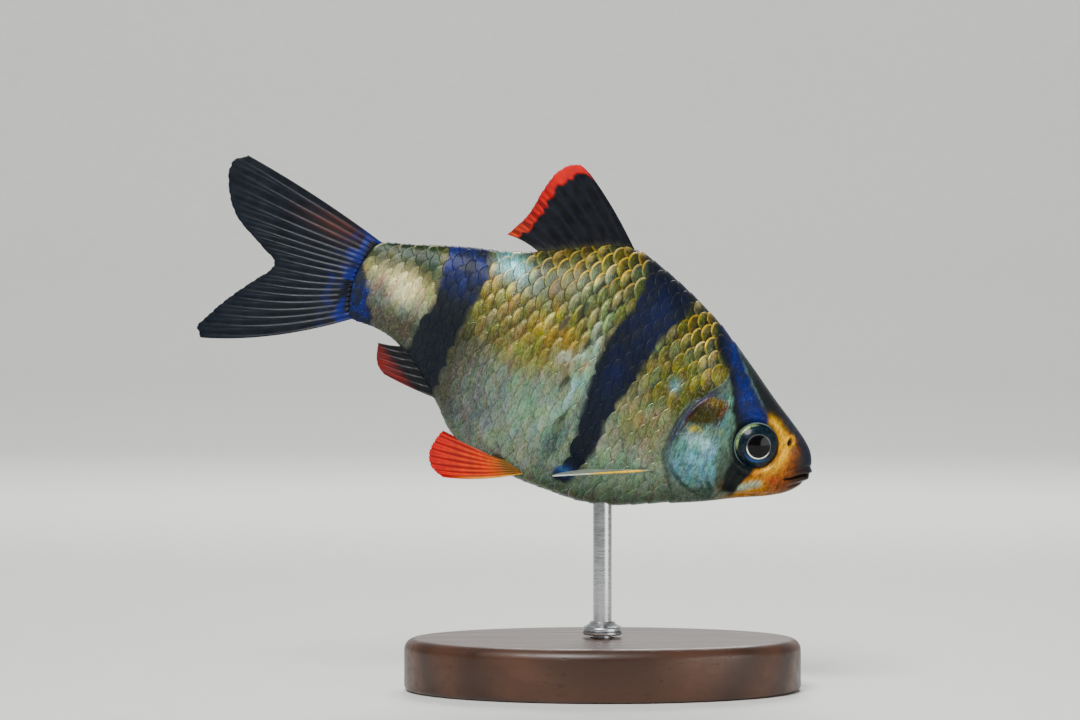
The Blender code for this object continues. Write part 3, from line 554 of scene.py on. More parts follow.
# Painted reflections: colours that single scales throw back, as seen
SCALE_CASTS = [
    (186, 160, 62), (180, 122, 66), (98, 136, 104), (140, 174, 172), (128, 118, 134), (110, 100, 56),
]
# Rounded foot of the shoulder band, and the painted blue highlight on it
BAND_FOOT, BAND_FOOT_BLUE = (21.2, -10.05), (21.3, -9.6)


def colour(name):
    return np.array(getattr(bpy.context.scene.barb_colours, name))


def paint(base, over, amount):
    return base + (np.asarray(over) - base) * np.clip(amount, 0.0, 1.0)[..., None]


def layered(base, layers):
    """The base with layers of paint over it, each a named colour or one as seen, and its amount."""
    for shade, amount in layers:
        base = paint(base, colour(shade) if isinstance(shade, str) else linear(*shade), amount)
    return base


def laid(patches, s, h, textures, within=1.0):
    """One layer for each patch, no stronger than within."""
    return [(patch.shade, within * patch.amount(s, h, textures)) for patch in patches.values()]


def evenly(shade, s):
    """One colour at every point."""
    return np.broadcast_to(shade, (*np.shape(s), 3))


def deepen(hue, vivid=1.5):
    """From a colour as seen to a paint for it, richer and darker, since a pale studio washes it out."""
    grey = hue.mean(-1, keepdims=True)
    rich = np.clip(grey + (hue - grey) * vivid, 0.0, 1.0)
    return rich * (0.36 + 0.5 * rich.max(-1, keepdims=True))


def band_share(s, h, name, ragged=0.25):
    """1 inside that dark band, 0 outside it."""
    front, rear = BANDS[name]
    wander = ragged * lattice_noise(s, h, 0.9, 11) + 0.5 * ragged * lattice_noise(s, h, 0.35, 12)
    return ramp(s + wander - through(front, h), -0.22, 0.3) * ramp(through(rear, h) - s + wander, -0.22, 0.3)


def dark_bands(s, h, soft, on_cover):
    """How much of each point the dark bands cover, and how blue they shine there."""
    share = {name: band_share(s, h, name, 0.25 * soft) for name in BANDS}
    share["eye"] = share["eye"] * ramp(h, -6.6, -5.4) * (1 - 0.9 * on_cover * ramp(s, 7.2, 8.2))
    foot = ramp(np.hypot(s - BAND_FOOT[0], (h - BAND_FOOT[1]) * 1.1), 1.05, 0.7)
    share["shoulder"] = np.maximum(share["shoulder"] * ramp(h, -10.9, -10.2), foot)
    share["hip"] = share["hip"] * 0.97
    share["tail"] = share["tail"] * 0.92
    crown = ramp(h, 0.6, 2.2) * (0.85 + 0.3 * lattice_noise(s, h, 0.6, 21))
    shoulder = 0.08 + 0.26 * blot(s, h, (18.6, 7.4), (1.8, 2.6)) + 0.2 * blot(s, h, (20.2, 1.0), (1.1, 2.4))
    glow = {
        "eye": crown * ramp(through(BANDS["eye"][1], h) - s, 0.2, 1.5),
        "shoulder": shoulder + blot(s, h, BAND_FOOT_BLUE, (1.0, 0.45)),
        "hip": 0.06 + 0.8 * ramp(h, 0.8, 4.6) * (0.65 + 0.6 * lattice_noise(s, h, 0.6, 22)),
        "tail": 0.2 + 0.8 * np.clip(lattice_noise(s, h, 0.55, 23) * 1.8, 0, 1),
    }
    dark = np.maximum.reduce(list(share.values()))
    blue = np.maximum.reduce([share[name] * np.clip(glow[name], 0.0, 1.0) for name in BANDS])
    return dark, blue


def on_stalk(s):
    return ramp(s, 38.6, 40.0)


def flank_colours(s, h, share, textures):
    """The scaled body between its dark bands."""
    stalk = on_stalk(s)
    before_hip = through(BANDS["hip"][0], h) - s
    return layered(evenly(colour("silver"), s), [
        ((142, 158, 144), 0.8 * ramp(share, 0.22, 0.0)),
        ((136, 138, 80), 0.85 * ramp(share, 0.34, 0.6)),
        ("olive", ramp(share, 0.62, 0.9) * ramp(s, 42.0, 34.0)),
        *laid(FLANK_PATCHES, s, h, textures),
        ((62, 54, 40), 0.9 * bell(before_hip, 2.7) * ramp(h, 1.5, -1.5)),
        # Tail stalk: greenish silver above, cream in the middle, taupe below, darkened towards the bottom as
        # painted shade
        ((20, 52, 26), 0.96 * stalk * ramp(h, 1.5, 2.7)),
        *laid(STALK_PATCHES, s, h, textures),
        ((80, 74, 68), 0.88 * stalk * ramp(h, -0.4, -2.4)),
        # Belly and back, seen from below and from above
        ((104, 116, 100), 0.6 * ramp(share, 0.07, 0.0) * ramp(s, 9.0, 13.0)),
        ((40, 42, 24), 0.8 * ramp(share, 0.955, 1.0)),
    ])


def head_layers(s, h, share, below_back, head):
    """Taupe forehead, golden and brown snout, blue-grey upper lip, gold round the eye, pale jaw."""
    freckle = lattice_noise(s, h * 2.6, 1.1, 8) + 0.55 * lattice_noise(s, h * 1.6, 0.42, 9)
    freckle = np.clip(freckle, 0.0, 1.0)
    around = eye_distance(s, h)
    ahead = (-0.93 * (s - EYE_CENTRE[0]) + 0.37 * (h - EYE_CENTRE[1])) / np.maximum(around, 0.1)
    lower_front = ramp(ahead, -0.2, 0.3) * ramp(h, -0.5, -1.6)
    brow = through(BANDS["eye"][0], h) - s
    snout = head * ramp(s + 0.62 * h, 4.6, 3.0) * ramp(s, 6.6, 4.4)
    jaw, way = line_distance(s, h, JAW_STRIP)
    strip = head * bell(jaw, 0.4) * ramp(way, 0.05, 0.25)
    return [
        ((104, 118, 108), head),
        ((138, 152, 138), 0.75 * head * ramp(share, 0.24, 0.06) * ramp(s, 7.6, 9.6)),
        ((42, 44, 52), 0.96 * head * ramp(brow, -0.3, 0.3) * ramp(h, 0.2, 1.4)),
        ("orange", 0.96 * snout),
        ((150, 86, 30), 0.85 * snout * ramp(s, 3.4, 1.2)),
        # The snout's tip is dark brown, darkened further at its end as painted shade
        ((30, 14, 5), 0.9 * snout * ramp(s, 1.9, 0.2)),
        ((72, 26, 8), 0.8 * snout * freckle * ramp(s, 3.8, 1.4)),
        ((58, 68, 92), 0.9 * head * ramp(below_back, 1.7, 0.5) * ramp(s, 5.0, 2.4)),
        ((52, 60, 76), 0.8 * head * blot(s, h, (0.2, -0.1), (1.0, 1.1))),
        ((132, 148, 164), 0.7 * head * bell(brow - 0.1, 0.18) * ramp(h, 2.6, 3.6)),
        ((244, 190, 84), head * bell(around - 2.8, 0.5) * ramp(ahead, 0.1, 0.7)),
        ((222, 176, 104), 0.8 * head * bell(around - 2.6, 0.3) * lower_front),
        ((186, 92, 16), 0.95 * blot(s, h, (2.55, -2.95), (0.55, 0.42))),
        # The jaw's pale strip has gold above it, and the throat is brown
        ((222, 150, 62), 0.9 * head * bell(jaw - 0.1, 0.75) * ramp(way, 0.02, 0.25) * ramp(way, 0.95, 0.7)),
        ((210, 234, 212), 0.98 * strip * ramp(way, 1.0, 0.8) * (0.85 + 0.25 * freckle)),
        ((168, 126, 84), 0.7 * head * ramp(share, 0.1, 0.0) * ramp(s, 8.0, 3.0)),
    ]


def gill_cover_layers(s, h, head, mottle, edge, on_cover):
    """The cheek behind the eye, and the gill cover with its dark gold spot, violet rear edge and painted
    highlights.
    """
    textures = {
        "upright": 0.5 + 0.5 * lattice_noise(s * 2.2, h * 0.5, 0.55, 15),
        "flare": 0.5 + 0.5 * lattice_noise(s * 1.4, h * 0.8, 0.55, 14),
    }
    upright, flare = textures["upright"], textures["flare"]
    rear_part = on_cover * ramp(s + 0.2 * h, 7.6, 9.2)
    spot = ramp(blot(s, h, (11.3, 0.7), (1.9, 1.7), lean=-0.45) + 0.12 * mottle, 0.2, 0.6)
    slit = bell(edge, 0.26) * ramp(s, 10.2, 11.4)
    inner_edge = bell(edge - 0.4, 0.16) * ramp(s, 11.4, 12.2) * ramp(h, -3.0, -1.6)
    return [
        ((134, 180, 162), 0.9 * head * blot(s, h, (8.9, 0.0), (1.0, 4.4)) * (0.5 + 0.6 * upright)),
        ((122, 156, 156), 0.85 * rear_part * (0.6 + 0.5 * upright)),
        *laid(GILL_COVER_PATCHES, s, h, textures, within=on_cover),
        ((72, 62, 14), 0.96 * rear_part * spot),
        ((130, 108, 96), 0.8 * rear_part * blot(s, h, (11.3, 1.7), (1.2, 0.5), lean=-0.9)),
        # Painted highlight: a gold glint on the cover
        ((222, 200, 30), blot(s, h, (11.4, -1.2), (0.7, 0.36), lean=-0.5) * np.clip(0.2 + flare, 0, 1)),
        ((178, 140, 42), 0.85 * blot(s, h, (10.3, 1.9), (0.9, 0.4)) * flare),
        ((112, 40, 20), 0.75 * blot(s, h, (9.6, 1.2), (0.35, 0.8))),
        ((82, 72, 128), 0.85 * slit * ramp(h, -4.4, -2.6) * (0.5 + 0.6 * flare)),
        ((74, 16, 34), 0.8 * on_cover * inner_edge),
        # Painted highlight: pale on the lower part of the rear edge
        ((150, 186, 190), 0.7 * slit * ramp(h, -3.2, -4.6)),
    ]


def mouth_layers(s, h):
    """The mouth's cut and the nostril's pit, painted dark as shade in these hollows, and the nostril's pale
    rim.
    """
    mouth, way = line_distance(s, h, MOUTH_LINE)
    nostril = nostril_distance(s, h)
    return [
        # Painted shade in the mouth's cut
        ((30, 12, 8), 0.9 * bell(mouth, 0.13) * ramp(way, 1.0, 0.95)),
        ((232, 186, 108), 0.85 * bell(nostril - 0.52, 0.17)),
        # Painted shade in the nostril's pit
        ((26, 16, 12), 0.95 * ramp(nostril, 0.36, 0.16)),
    ]


def markings(s, h, soft=1.0):
    """Colour, silver sheen and roughness of the skin and scales at points of either side."""
    top, bottom = along_body(BACK_LINE, s), along_body(BELLY_LINE, s)
    share = np.clip((h - bottom) / np.maximum(top - bottom, 0.1), 0.0, 1.0)
    mottle = lattice_noise(s, h, 1.1, 3) + 0.6 * lattice_noise(s, h, 0.45, 4)
    streaks = lattice_noise(s - 0.12 * h, 0.35 * h, 0.5, 5)
    head = 1.0 - scaled(s, h)
    edge, within = gill_cover_edge(s, h)
    on_cover = within * ramp(edge, 0.0, 0.25)

    face = flank_colours(s, h, share, {"mottle": mottle, "streaks": streaks})
    face = face * (1.0 + soft * (0.2 * mottle + 0.16 * streaks))[..., None]
    face = layered(face, head_layers(s, h, share, top - h, head))
    face = layered(face, gill_cover_layers(s, h, head, mottle, edge, on_cover))
    face = layered(face, mouth_layers(s, h))
    # The body is paler than the head, most of all in the middle of the tail stalk
    pale = 0.3 + 0.3 * blot(s, h, (42.0, 0.8), (2.2, 1.4))
    face = deepen(face) * (1 + pale * (1 - head))[..., None]

    dark, blue = dark_bands(s, h, soft, on_cover)
    for centre, size in RAGGED_PATCHES:
        dark = np.maximum(dark, 0.8 * ramp(blot(s, h, centre, size, lean=-0.2) + 0.18 * mottle, 0.35, 0.75))
    ink = layered(evenly(colour("band"), s), [((3, 14, 15), 0.7 * ramp(h, 1.0, -4.0))])
    face = paint(face, ink, dark)
    face = layered(face, [
        ("band_blue", 0.85 * blue),
        # Painted highlight: blue light on the foot of the shoulder band
        ((40, 104, 160), 0.8 * dark * blot(s, h, (21.4, -9.5), (0.8, 0.3))),
    ])
    # Dark paint has less silver under it, and a duller face
    sheen = (0.5 + 0.12 * mottle) * (1 - 0.6 * on_stalk(s) * ramp(h, 1.0, 2.6))
    sheen = sheen * (1 - head) + head * (0.1 + 0.45 * on_cover + 0.2 * blot(s, h, (8.9, 0.0), (1.2, 4.4)))
    sheen = sheen * (0.25 + 0.75 * ramp(face.max(-1), 0.01, 0.13))
    sheen = sheen * (1 - dark) + dark * (0.03 + 0.08 * blue)
    rough = 0.36 + 0.05 * streaks + 0.16 * dark
    return np.clip(face, 0.0, 1.0), np.clip(sheen, 0.0, 1.0), np.clip(rough, 0.15, 0.8)


def rim_glint(s, h):
    """How strongly the rear rims of the scales are painted with shining highlights: most near the back."""
    below = along_body(BACK_LINE, s) - h
    return np.maximum.reduce([
        ramp(below, 6.4, 1.2) * blot(s, h, (24.4, 10.2), (3.6, 4.2)),
        0.95 * blot(s, h, (13.4, 7.4), (2.2, 2.4)),
        0.6 * ramp(below, 4.4, 0.8) * ramp(s, 26.0, 28.0) * ramp(s, 35.2, 34.2),
        0.35 * ramp(below, 1.3, 0.2) * ramp(s, 39.2, 40.4),
    ])


# Meshes and materials


def link_piece(name, mesh):
    mesh.validate()
    mesh.shade_smooth()
    piece = bpy.data.objects.new(name, mesh)
    bpy.context.scene.collection.objects.link(piece)
    return piece


def put_mesh(name, points, faces):
    """A smooth piece whose faces all have the same number of corners."""
    mesh = bpy.data.meshes.new(name)
    flat = np.ascontiguousarray(points, np.float32).reshape(-1, 3)
    faces = np.ascontiguousarray(faces, np.int32)
    mesh.vertices.add(len(flat))
    mesh.vertices.foreach_set("co", flat.ravel())
    mesh.loops.add(faces.size)
    mesh.loops.foreach_set("vertex_index", faces.ravel())
    mesh.polygons.add(len(faces))
    mesh.polygons.foreach_set("loop_start", np.arange(0, faces.size, faces.shape[1], dtype=np.int32))
    mesh.update(calc_edges=True)
    return link_piece(name, mesh)


def put_polygons(name, points, faces):
    """A smooth piece from a list of faces with three or four corners."""
    mesh = bpy.data.meshes.new(name)
    mesh.from_pydata(np.asarray(points).tolist(), [], faces)
    return link_piece(name, mesh)


def put_colour(piece, name, values):
    layer = piece.data.color_attributes.new(name, "FLOAT_COLOR", "POINT")
    rgba = np.ones((len(piece.data.vertices), 4), np.float32)
    rgba[:, :3] = np.clip(values, 0, 1).reshape(-1, 3)
    layer.data.foreach_set("color", rgba.ravel())


def put_value(piece, name, values):
    layer = piece.data.attributes.new(name, "FLOAT", "POINT")
    layer.data.foreach_set("value", np.ascontiguousarray(values, np.float32).ravel())


def grid_faces(rows, columns, wrap=False, start=0):
    """Quads between neighbouring rows and columns of a grid of points."""
    r = np.arange(rows - 1)[:, None]
    c = np.arange(columns if wrap else columns - 1)[None, :]
    after = (c + 1) % columns
    low, high = r * columns, (r + 1) * columns
    return np.stack([low + c, high + c, high + after, low + after], -1).reshape(-1, 4) + start


def grid_rim(rows, columns):
    """The points round a grid's four sides, in order."""
    rim = list(range(columns))
    rim += [r * columns + columns - 1 for r in range(1, rows)]
    rim += [(rows - 1) * columns + c for c in range(columns - 2, -1, -1)]
    rim += [r * columns for r in range(rows - 2, 0, -1)]
    return np.array(rim)


def slab_faces(rows, columns):
    """Faces of a thin plate: a grid, the same grid again on its underside, and the strip round both."""
    block = rows * columns
    top = grid_faces(rows, columns)
    rim = grid_rim(rows, columns)
    after = np.roll(rim, -1)
    strip = np.stack([rim, after, after + block, rim + block], 1)
    return np.concatenate([top, top[:, ::-1] + block, strip])


class Nodes:
    """One material's node tree, with short ways to add to it."""

    def __init__(self, name):
        self.material = bpy.data.materials.new(name)
        self.material.use_nodes = True
        self.tree = self.material.node_tree
        self.shader = self.tree.nodes["Principled BSDF"]

    def add(self, kind, **settings):
        node = self.tree.nodes.new(kind)
        for key, value in settings.items():
            if key in node.inputs:
                self.feed(node.inputs[key], value)
            else:
                setattr(node, key, value)
        return node

    def feed(self, socket, value):
        if isinstance(value, bpy.types.NodeSocket):
            self.tree.links.new(value, socket)
        else:
            socket.default_value = value

    def attribute(self, name, output="Fac"):
        return self.add("ShaderNodeAttribute", attribute_name=name).outputs[output]

    def place(self):
        return self.add("ShaderNodeTexCoord").outputs["Object"]

    def stretched(self, vector, scale, **settings):
        return self.add("ShaderNodeMapping", Vector=vector, Scale=scale, **settings).outputs[0]

    def noise(self, vector, scale, detail=4.0, roughness=0.55, output="Fac"):
        settings = {"Vector": vector, "Scale": scale, "Detail": detail, "Roughness": roughness}
        return self.add("ShaderNodeTexNoise", **settings).outputs[output]

    def waves(self, vector, **settings):
        return self.add("ShaderNodeTexWave", Vector=vector, **settings).outputs["Fac"]

    def along(self, value):
        """A vector that runs with one value only, for waves that follow it."""
        return self.add("ShaderNodeCombineXYZ", X=value).outputs[0]

    def span(self, value, low, high, to_low=0.0, to_high=1.0):
        node = self.add("ShaderNodeMapRange", interpolation_type="SMOOTHSTEP")
        for key, number in (("From Min", low), ("From Max", high), ("To Min", to_low), ("To Max", to_high)):
            node.inputs[key].default_value = number
        self.feed(node.inputs["Value"], value)
        return node.outputs["Result"]

    def maths(self, operation, first, second=0.0):
        node = self.add("ShaderNodeMath", operation=operation)
        self.feed(node.inputs[0], first)
        self.feed(node.inputs[1], second)
        return node.outputs[0]

    def times(self, first, second):
        return self.maths("MULTIPLY", first, second)

    def mix(self, amount, first, second, blend="MIX"):
        node = self.add("ShaderNodeMix", data_type="RGBA", blend_type=blend)
        self.feed(node.inputs["Factor"], amount)
        for socket, value in ((node.inputs[6], first), (node.inputs[7], second)):
            self.feed(socket, value if isinstance(value, bpy.types.NodeSocket) else (*value, 1.0))
        return node.outputs[2]

    def shades(self, amount, base, dark, pale):
        """From a darker to a paler shade of one colour."""
        return self.mix(amount, tuple(base * dark), tuple(np.clip(base * pale, 0, 1)))

    def bump(self, height, distance, strength=1.0, normal=None):
        node = self.add("ShaderNodeBump", Strength=strength, Distance=distance, Height=height)
        if normal is not None:
            self.feed(node.inputs["Normal"], normal)
        return node.outputs["Normal"]

    def finish(self, piece, **sockets):
        for key, value in sockets.items():
            self.feed(self.shader.inputs[key.replace("_", " ")], value)
        piece.data.materials.clear()
        piece.data.materials.append(self.material)


def skin_material(piece, name, with_scales):
    """Moist fish skin: its markings, guanine sparkle painted in as pale glints, and fine bumps. On scales,
    rims and ridges too.
    """
    nodes = Nodes(name)
    place = nodes.place()
    sheen = nodes.attribute("sheen")
    # Coordinates along and up the body, in which streaks are drawn out up and down
    drawn = nodes.stretched(place, (1.0, 2.0, 2.6), vector_type="TEXTURE", Rotation=(0.0, PITCH, 0.0))
    grain = nodes.noise(drawn, 2300.0, 4.0, 0.65)
    fine = nodes.noise(drawn, 7000.0, 2.0, 0.6)
    strength = nodes.attribute("dome") if with_scales else 1.0
    flecks = nodes.times(nodes.span(grain, 0.36, 0.6, 0.5, 0.0), strength)
    tone = nodes.mix(flecks, nodes.attribute("hue", "Color"), (0.012, 0.016, 0.01))
    tone = nodes.mix(nodes.span(fine, 0.52, 0.38, 0.0, 0.4), tone, (0.012, 0.014, 0.012))
    paler = nodes.mix(0.5, tone, (0.3, 0.32, 0.24))
    tone = nodes.mix(nodes.times(nodes.span(fine, 0.52, 0.68), sheen), tone, paler)
    # Layered guanine breaks the light into other hues in small patches
    patches = nodes.noise(drawn, 1500.0, 3.0, 0.6, "Color")
    spread = nodes.add("ShaderNodeVectorMath", operation="MULTIPLY_ADD")
    for socket, value in zip(spread.inputs, (patches, (4.2, 3.6, 4.4), (-1.6, -1.3, -1.75))):
        nodes.feed(socket, value)
    opal = nodes.times(sheen, 0.34 if with_scales else 0.25)
    tone = nodes.mix(opal, tone, spread.outputs[0], "SOFT_LIGHT")
    # Painted glints: pale specks of guanine sparkle in the colour
    sparkle = nodes.noise(place, 4200.0, 2.0, 0.7)
    glint = nodes.times(nodes.span(sparkle, 0.6, 0.74), sheen)
    tone = nodes.mix(nodes.times(glint, 0.35), tone, (0.7, 0.76, 0.6))
    height = nodes.maths("ADD", grain, nodes.times(fine, 0.6))
    normal = nodes.bump(height, 0.03 * MM, 0.5)
    metal = sheen
    if with_scales:
        tone, metal, normal = scale_rims(nodes, place, tone, metal, normal)
    rough = nodes.maths("ADD", nodes.attribute("rough"), nodes.span(sparkle, 0.3, 0.7, 0.06, -0.08))
    nodes.finish(
        piece, Base_Color=tone, Metallic=metal, Roughness=rough, Normal=normal,
        Coat_Weight=0.06, Coat_Roughness=0.12, Specular_IOR_Level=0.1,
    )


def scale_rims(nodes, place, tone, metal, normal):
    """Each scale's rear rim with its painted highlight, its growth rings and its dome, from the distance to
    its edge.
    """
    rim = nodes.attribute("rim")
    broken = nodes.span(nodes.noise(place, 2600.0, 2.0), 0.34, 0.5, 0.45, 1.0)
    line = nodes.times(nodes.times(nodes.span(rim, 0.24, 0.12), nodes.attribute("rim_glint")), broken)
    rings = nodes.waves(
        nodes.along(nodes.times(rim, 1.7)),
        wave_type="BANDS", bands_direction="X", Scale=1.0, Distortion=2.4, Detail=2.0,
    )
    tone = nodes.mix(nodes.times(rings, 0.22), tone, (0.01, 0.014, 0.01))
    tone = nodes.mix(line, tone, nodes.attribute("rim_hue", "Color"))
    metal = nodes.maths("MAXIMUM", metal, nodes.times(line, 0.75))
    domed = nodes.times(nodes.span(rim, 0.0, 0.42), nodes.attribute("dome"))
    normal = nodes.bump(domed, 0.04 * MM, 0.7, normal)
    return tone, metal, nodes.bump(rings, 0.012 * MM, 0.6, normal)


def fin_material(piece, name, gloss, clear):
    """Fin: coloured rays over a thinner membrane, with the joints of the rays as fine bumps."""
    nodes = Nodes(name)
    place = nodes.place()
    cloud = nodes.noise(place, 900.0, 4.0)
    hue = nodes.attribute("hue", "Color")
    tone = nodes.mix(nodes.span(cloud, 0.35, 0.7, 0.0, 0.3), hue, (0.01, 0.012, 0.018))
    joints = nodes.waves(
        nodes.along(nodes.attribute("reach")), wave_type="BANDS", bands_direction="X", Scale=1.0,
    )
    jointed = nodes.times(joints, nodes.attribute("ray"))
    tone = nodes.mix(nodes.times(jointed, 0.14), tone, (0.02, 0.015, 0.02))
    height = nodes.maths("ADD", nodes.times(jointed, -0.5), nodes.noise(place, 3000.0, 2.0))
    if clear:
        nodes.feed(nodes.shader.inputs["Alpha"], nodes.attribute("solid"))
    nodes.finish(
        piece, Base_Color=tone, Roughness=nodes.span(cloud, 0.3, 0.7, gloss, gloss + 0.12),
        Normal=nodes.bump(height, 0.03 * MM, 0.4),
        Coat_Weight=0.05, Coat_Roughness=0.25, Specular_IOR_Level=0.16,
    )


# Skin and scales


def build_skin():
    """One closed skin from the snout to the tail fin's root."""
    shape = bpy.context.scene.barb_shape
    half = shape.skin_ring
    grid = skin_grid(shape.skin_stations, half)
    rows, ring = grid.shape[:2]
    plain_s, plain_h = grid[:, :, 0], grid[:, :, 2]
    placed = grid + normals_of(grid) * relief(plain_s, plain_h)[:, :, None]
    tip_h = BACK_LINE[0][1]
    points = np.concatenate([[[NOSE, 0.0, tip_h]], placed.reshape(-1, 3)])
    faces = grid_faces(rows, ring, wrap=True, start=1).tolist()
    faces += [(0, 1 + j, 1 + (j + 1) % ring) for j in range(ring)]
    # The tail fin's root hides the end. Its faces join the two sides, and the outer two are triangles
    last = 1 + (rows - 1) * ring
    for j in range(half - 1):
        corners = (last + (ring - j) % ring, last + ring - j - 1, last + j + 1, last + j)
        faces.append(tuple(dict.fromkeys(corners)))
    skin = put_polygons("skin", to_world(points), faces)
    s = np.concatenate([[NOSE], plain_s.ravel()])
    h = np.concatenate([[tip_h], plain_h.ravel()])
    hue, sheen, rough = markings(s, h)
    put_colour(skin, "hue", hue)
    put_value(skin, "sheen", sheen)
    put_value(skin, "rough", rough)
    skin_material(skin, "moist_skin", with_scales=False)
    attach(skin, BODY)
    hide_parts("head", "trunk", "tail_stalk", "gill_cover_right", "gill_cover_left")


def girth_table():
    """Stations, angles and the arc from the flank's middle line to each angle, in millimetres."""
    stations = np.linspace(8.0, STANDARD_LENGTH, 240)
    angles = np.linspace(-math.pi / 2, math.pi / 2, 241)
    ring = flank(stations[:, None], angles[None, :])
    steps = np.linalg.norm(np.diff(ring, axis=1), axis=2)
    arcs = np.concatenate([np.zeros((len(stations), 1)), np.cumsum(steps, axis=1)], axis=1)
    return stations, angles, arcs - arcs[:, [len(angles) // 2]]


def angle_at(table, s, arc):
    """The angle that lies that arc above the middle line, at stations s."""
    stations, angles, arcs = table
    row = np.clip((s - stations[0]) / (stations[1] - stations[0]), 0, len(stations) - 1.001)
    low = np.floor(row).astype(int)
    share = row - low
    found = np.empty(np.shape(s))
    for r in np.unique(low):
        here = low == r
        first = np.interp(arc[here], arcs[r], angles)
        second = np.interp(arc[here], arcs[r + 1], angles)
        found[here] = first * (1 - share[here]) + second * share[here]
    return found


def scale_roots(table):
    """Where each scale of one side is rooted: station, arc from the middle line, row height, size."""
    shape = bpy.context.scene.barb_shape
    spacing, tallest = shape.scale_spacing / MM, shape.scale_height / MM
    stations, _, arcs = table
    roots = []
    s = FIRST_SCALES
    column = 0
    while s < LAST_SCALES:
        depth = float(along_body(BACK_LINE, s) - along_body(BELLY_LINE, s))
        high = tallest * (0.55 + 0.45 * depth / GREATEST_DEPTH)
        pitch = spacing * (0.72 + 0.28 * min(1.0, depth / FULL_SPACING_DEPTH))
        belly, back = np.interp(s, stations, arcs[:, 0]), np.interp(s, stations, arcs[:, -1])
        for row in range(-SCALE_ROWS, SCALE_ROWS + 1):
            arc = (row + 0.5 * (column % 2)) * high
            if belly - 0.3 * high < arc < back + 0.3 * high:
                roots.append((s, arc, high, pitch))
        s += pitch / 2
        column += 1
    return np.array(roots)


def plate_outline():
    """One scale on a grid from its root to its free edge: shares along, shares across, edge distance."""
    def free_edge(across):
        round_off = (1 - np.abs(across) ** PLATE_ROUNDNESS) ** (1 / PLATE_ROUNDNESS)
        return PLATE_SHOULDER + (1 - PLATE_SHOULDER) * round_off

    u = np.array(PLATE_STEPS)[:, None]
    w = np.sin(np.linspace(-0.5, 0.5, PLATE_COLUMNS) * math.pi)[None, :]
    along = u * free_edge(w)
    across = w * (0.9 + 0.1 * np.minimum(1.0, u / 0.5))
    fine = np.sin(np.linspace(-0.5, 0.5, 81) * math.pi)
    edge = np.stack([free_edge(fine), fine * PLATE_HALF_WIDTH], 1)
    spots = np.stack([along, across * PLATE_HALF_WIDTH], -1)
    far = np.linalg.norm(spots[:, :, None, :] - edge[None, None], axis=-1).min(-1)
    return along, across, far


def flank_normals(base, s, angle):
    """Outward directions at the points base, which lie on the left side at stations s and angles."""
    step, turn = 0.02, 0.01
    here = np.clip(s, NOSE, STANDARD_LENGTH)
    front = np.clip(s, NOSE, STANDARD_LENGTH - step)
    ahead = flank(front + step, angle) - flank(front, angle)
    higher, lower = np.clip(angle + turn, -1.57, 1.57), np.clip(angle - turn, -1.57, 1.57)
    normal = np.cross(ahead, flank(here, higher) - flank(here, lower))
    normal = normal / np.maximum(np.linalg.norm(normal, axis=-1), 1e-9)[..., None]
    middle = (along_body(BACK_LINE, base[..., 0]) + along_body(BELLY_LINE, base[..., 0])) / 2
    away = base * np.array([0.0, 1.0, 1.0])
    away[..., 2] -= middle
    return normal * np.sign(np.sum(normal * away, axis=-1, keepdims=True) + 1e-9)


def lay_plates(table, roots, jitter, along, across):
    """Where each plate's points lie on the left side, their outward directions and their lift, the
    height of its middle, and whether all of it is on the scaled body."""
    coat = bpy.context.scene.barb_shape.coat_depth / MM
    station, row_arc, high, pitch = roots.T[:, :, None, None]
    length = pitch * SCALE_LENGTH
    half = high * SCALE_HALF_WIDTH * (1 + 0.04 * jitter[:, 0, None, None])
    ds = along * length
    s = station + ds - SCALE_AHEAD * length
    angle = angle_at(table, np.clip(s, 8.0, STANDARD_LENGTH), row_arc + across * half - 0.06 * ds)
    angle = np.clip(angle, -math.pi / 2, math.pi / 2)
    base = flank(np.clip(s, NOSE, STANDARD_LENGTH), angle)
    normal = flank_normals(base, s, angle)
    base[..., 0] += np.maximum(s - STANDARD_LENGTH, 0.0)
    # The root lies on the skin and the free edge on the coat's top
    bed = SCALE_THICKNESS - coat
    lift = bed - bed * along**1.1 - 0.04 * np.abs(across) ** 3 + 0.006 * jitter[:, 1, None, None]
    middle_h = np.median(base[..., 2], axis=(1, 2))
    on_body = (s < STANDARD_LENGTH - 0.05).all(axis=(1, 2))
    keep = on_body & (scaled(roots[:, 0] + 0.3 * length[:, 0, 0], middle_h) > 0.5)
    return base, normal, lift, middle_h, keep


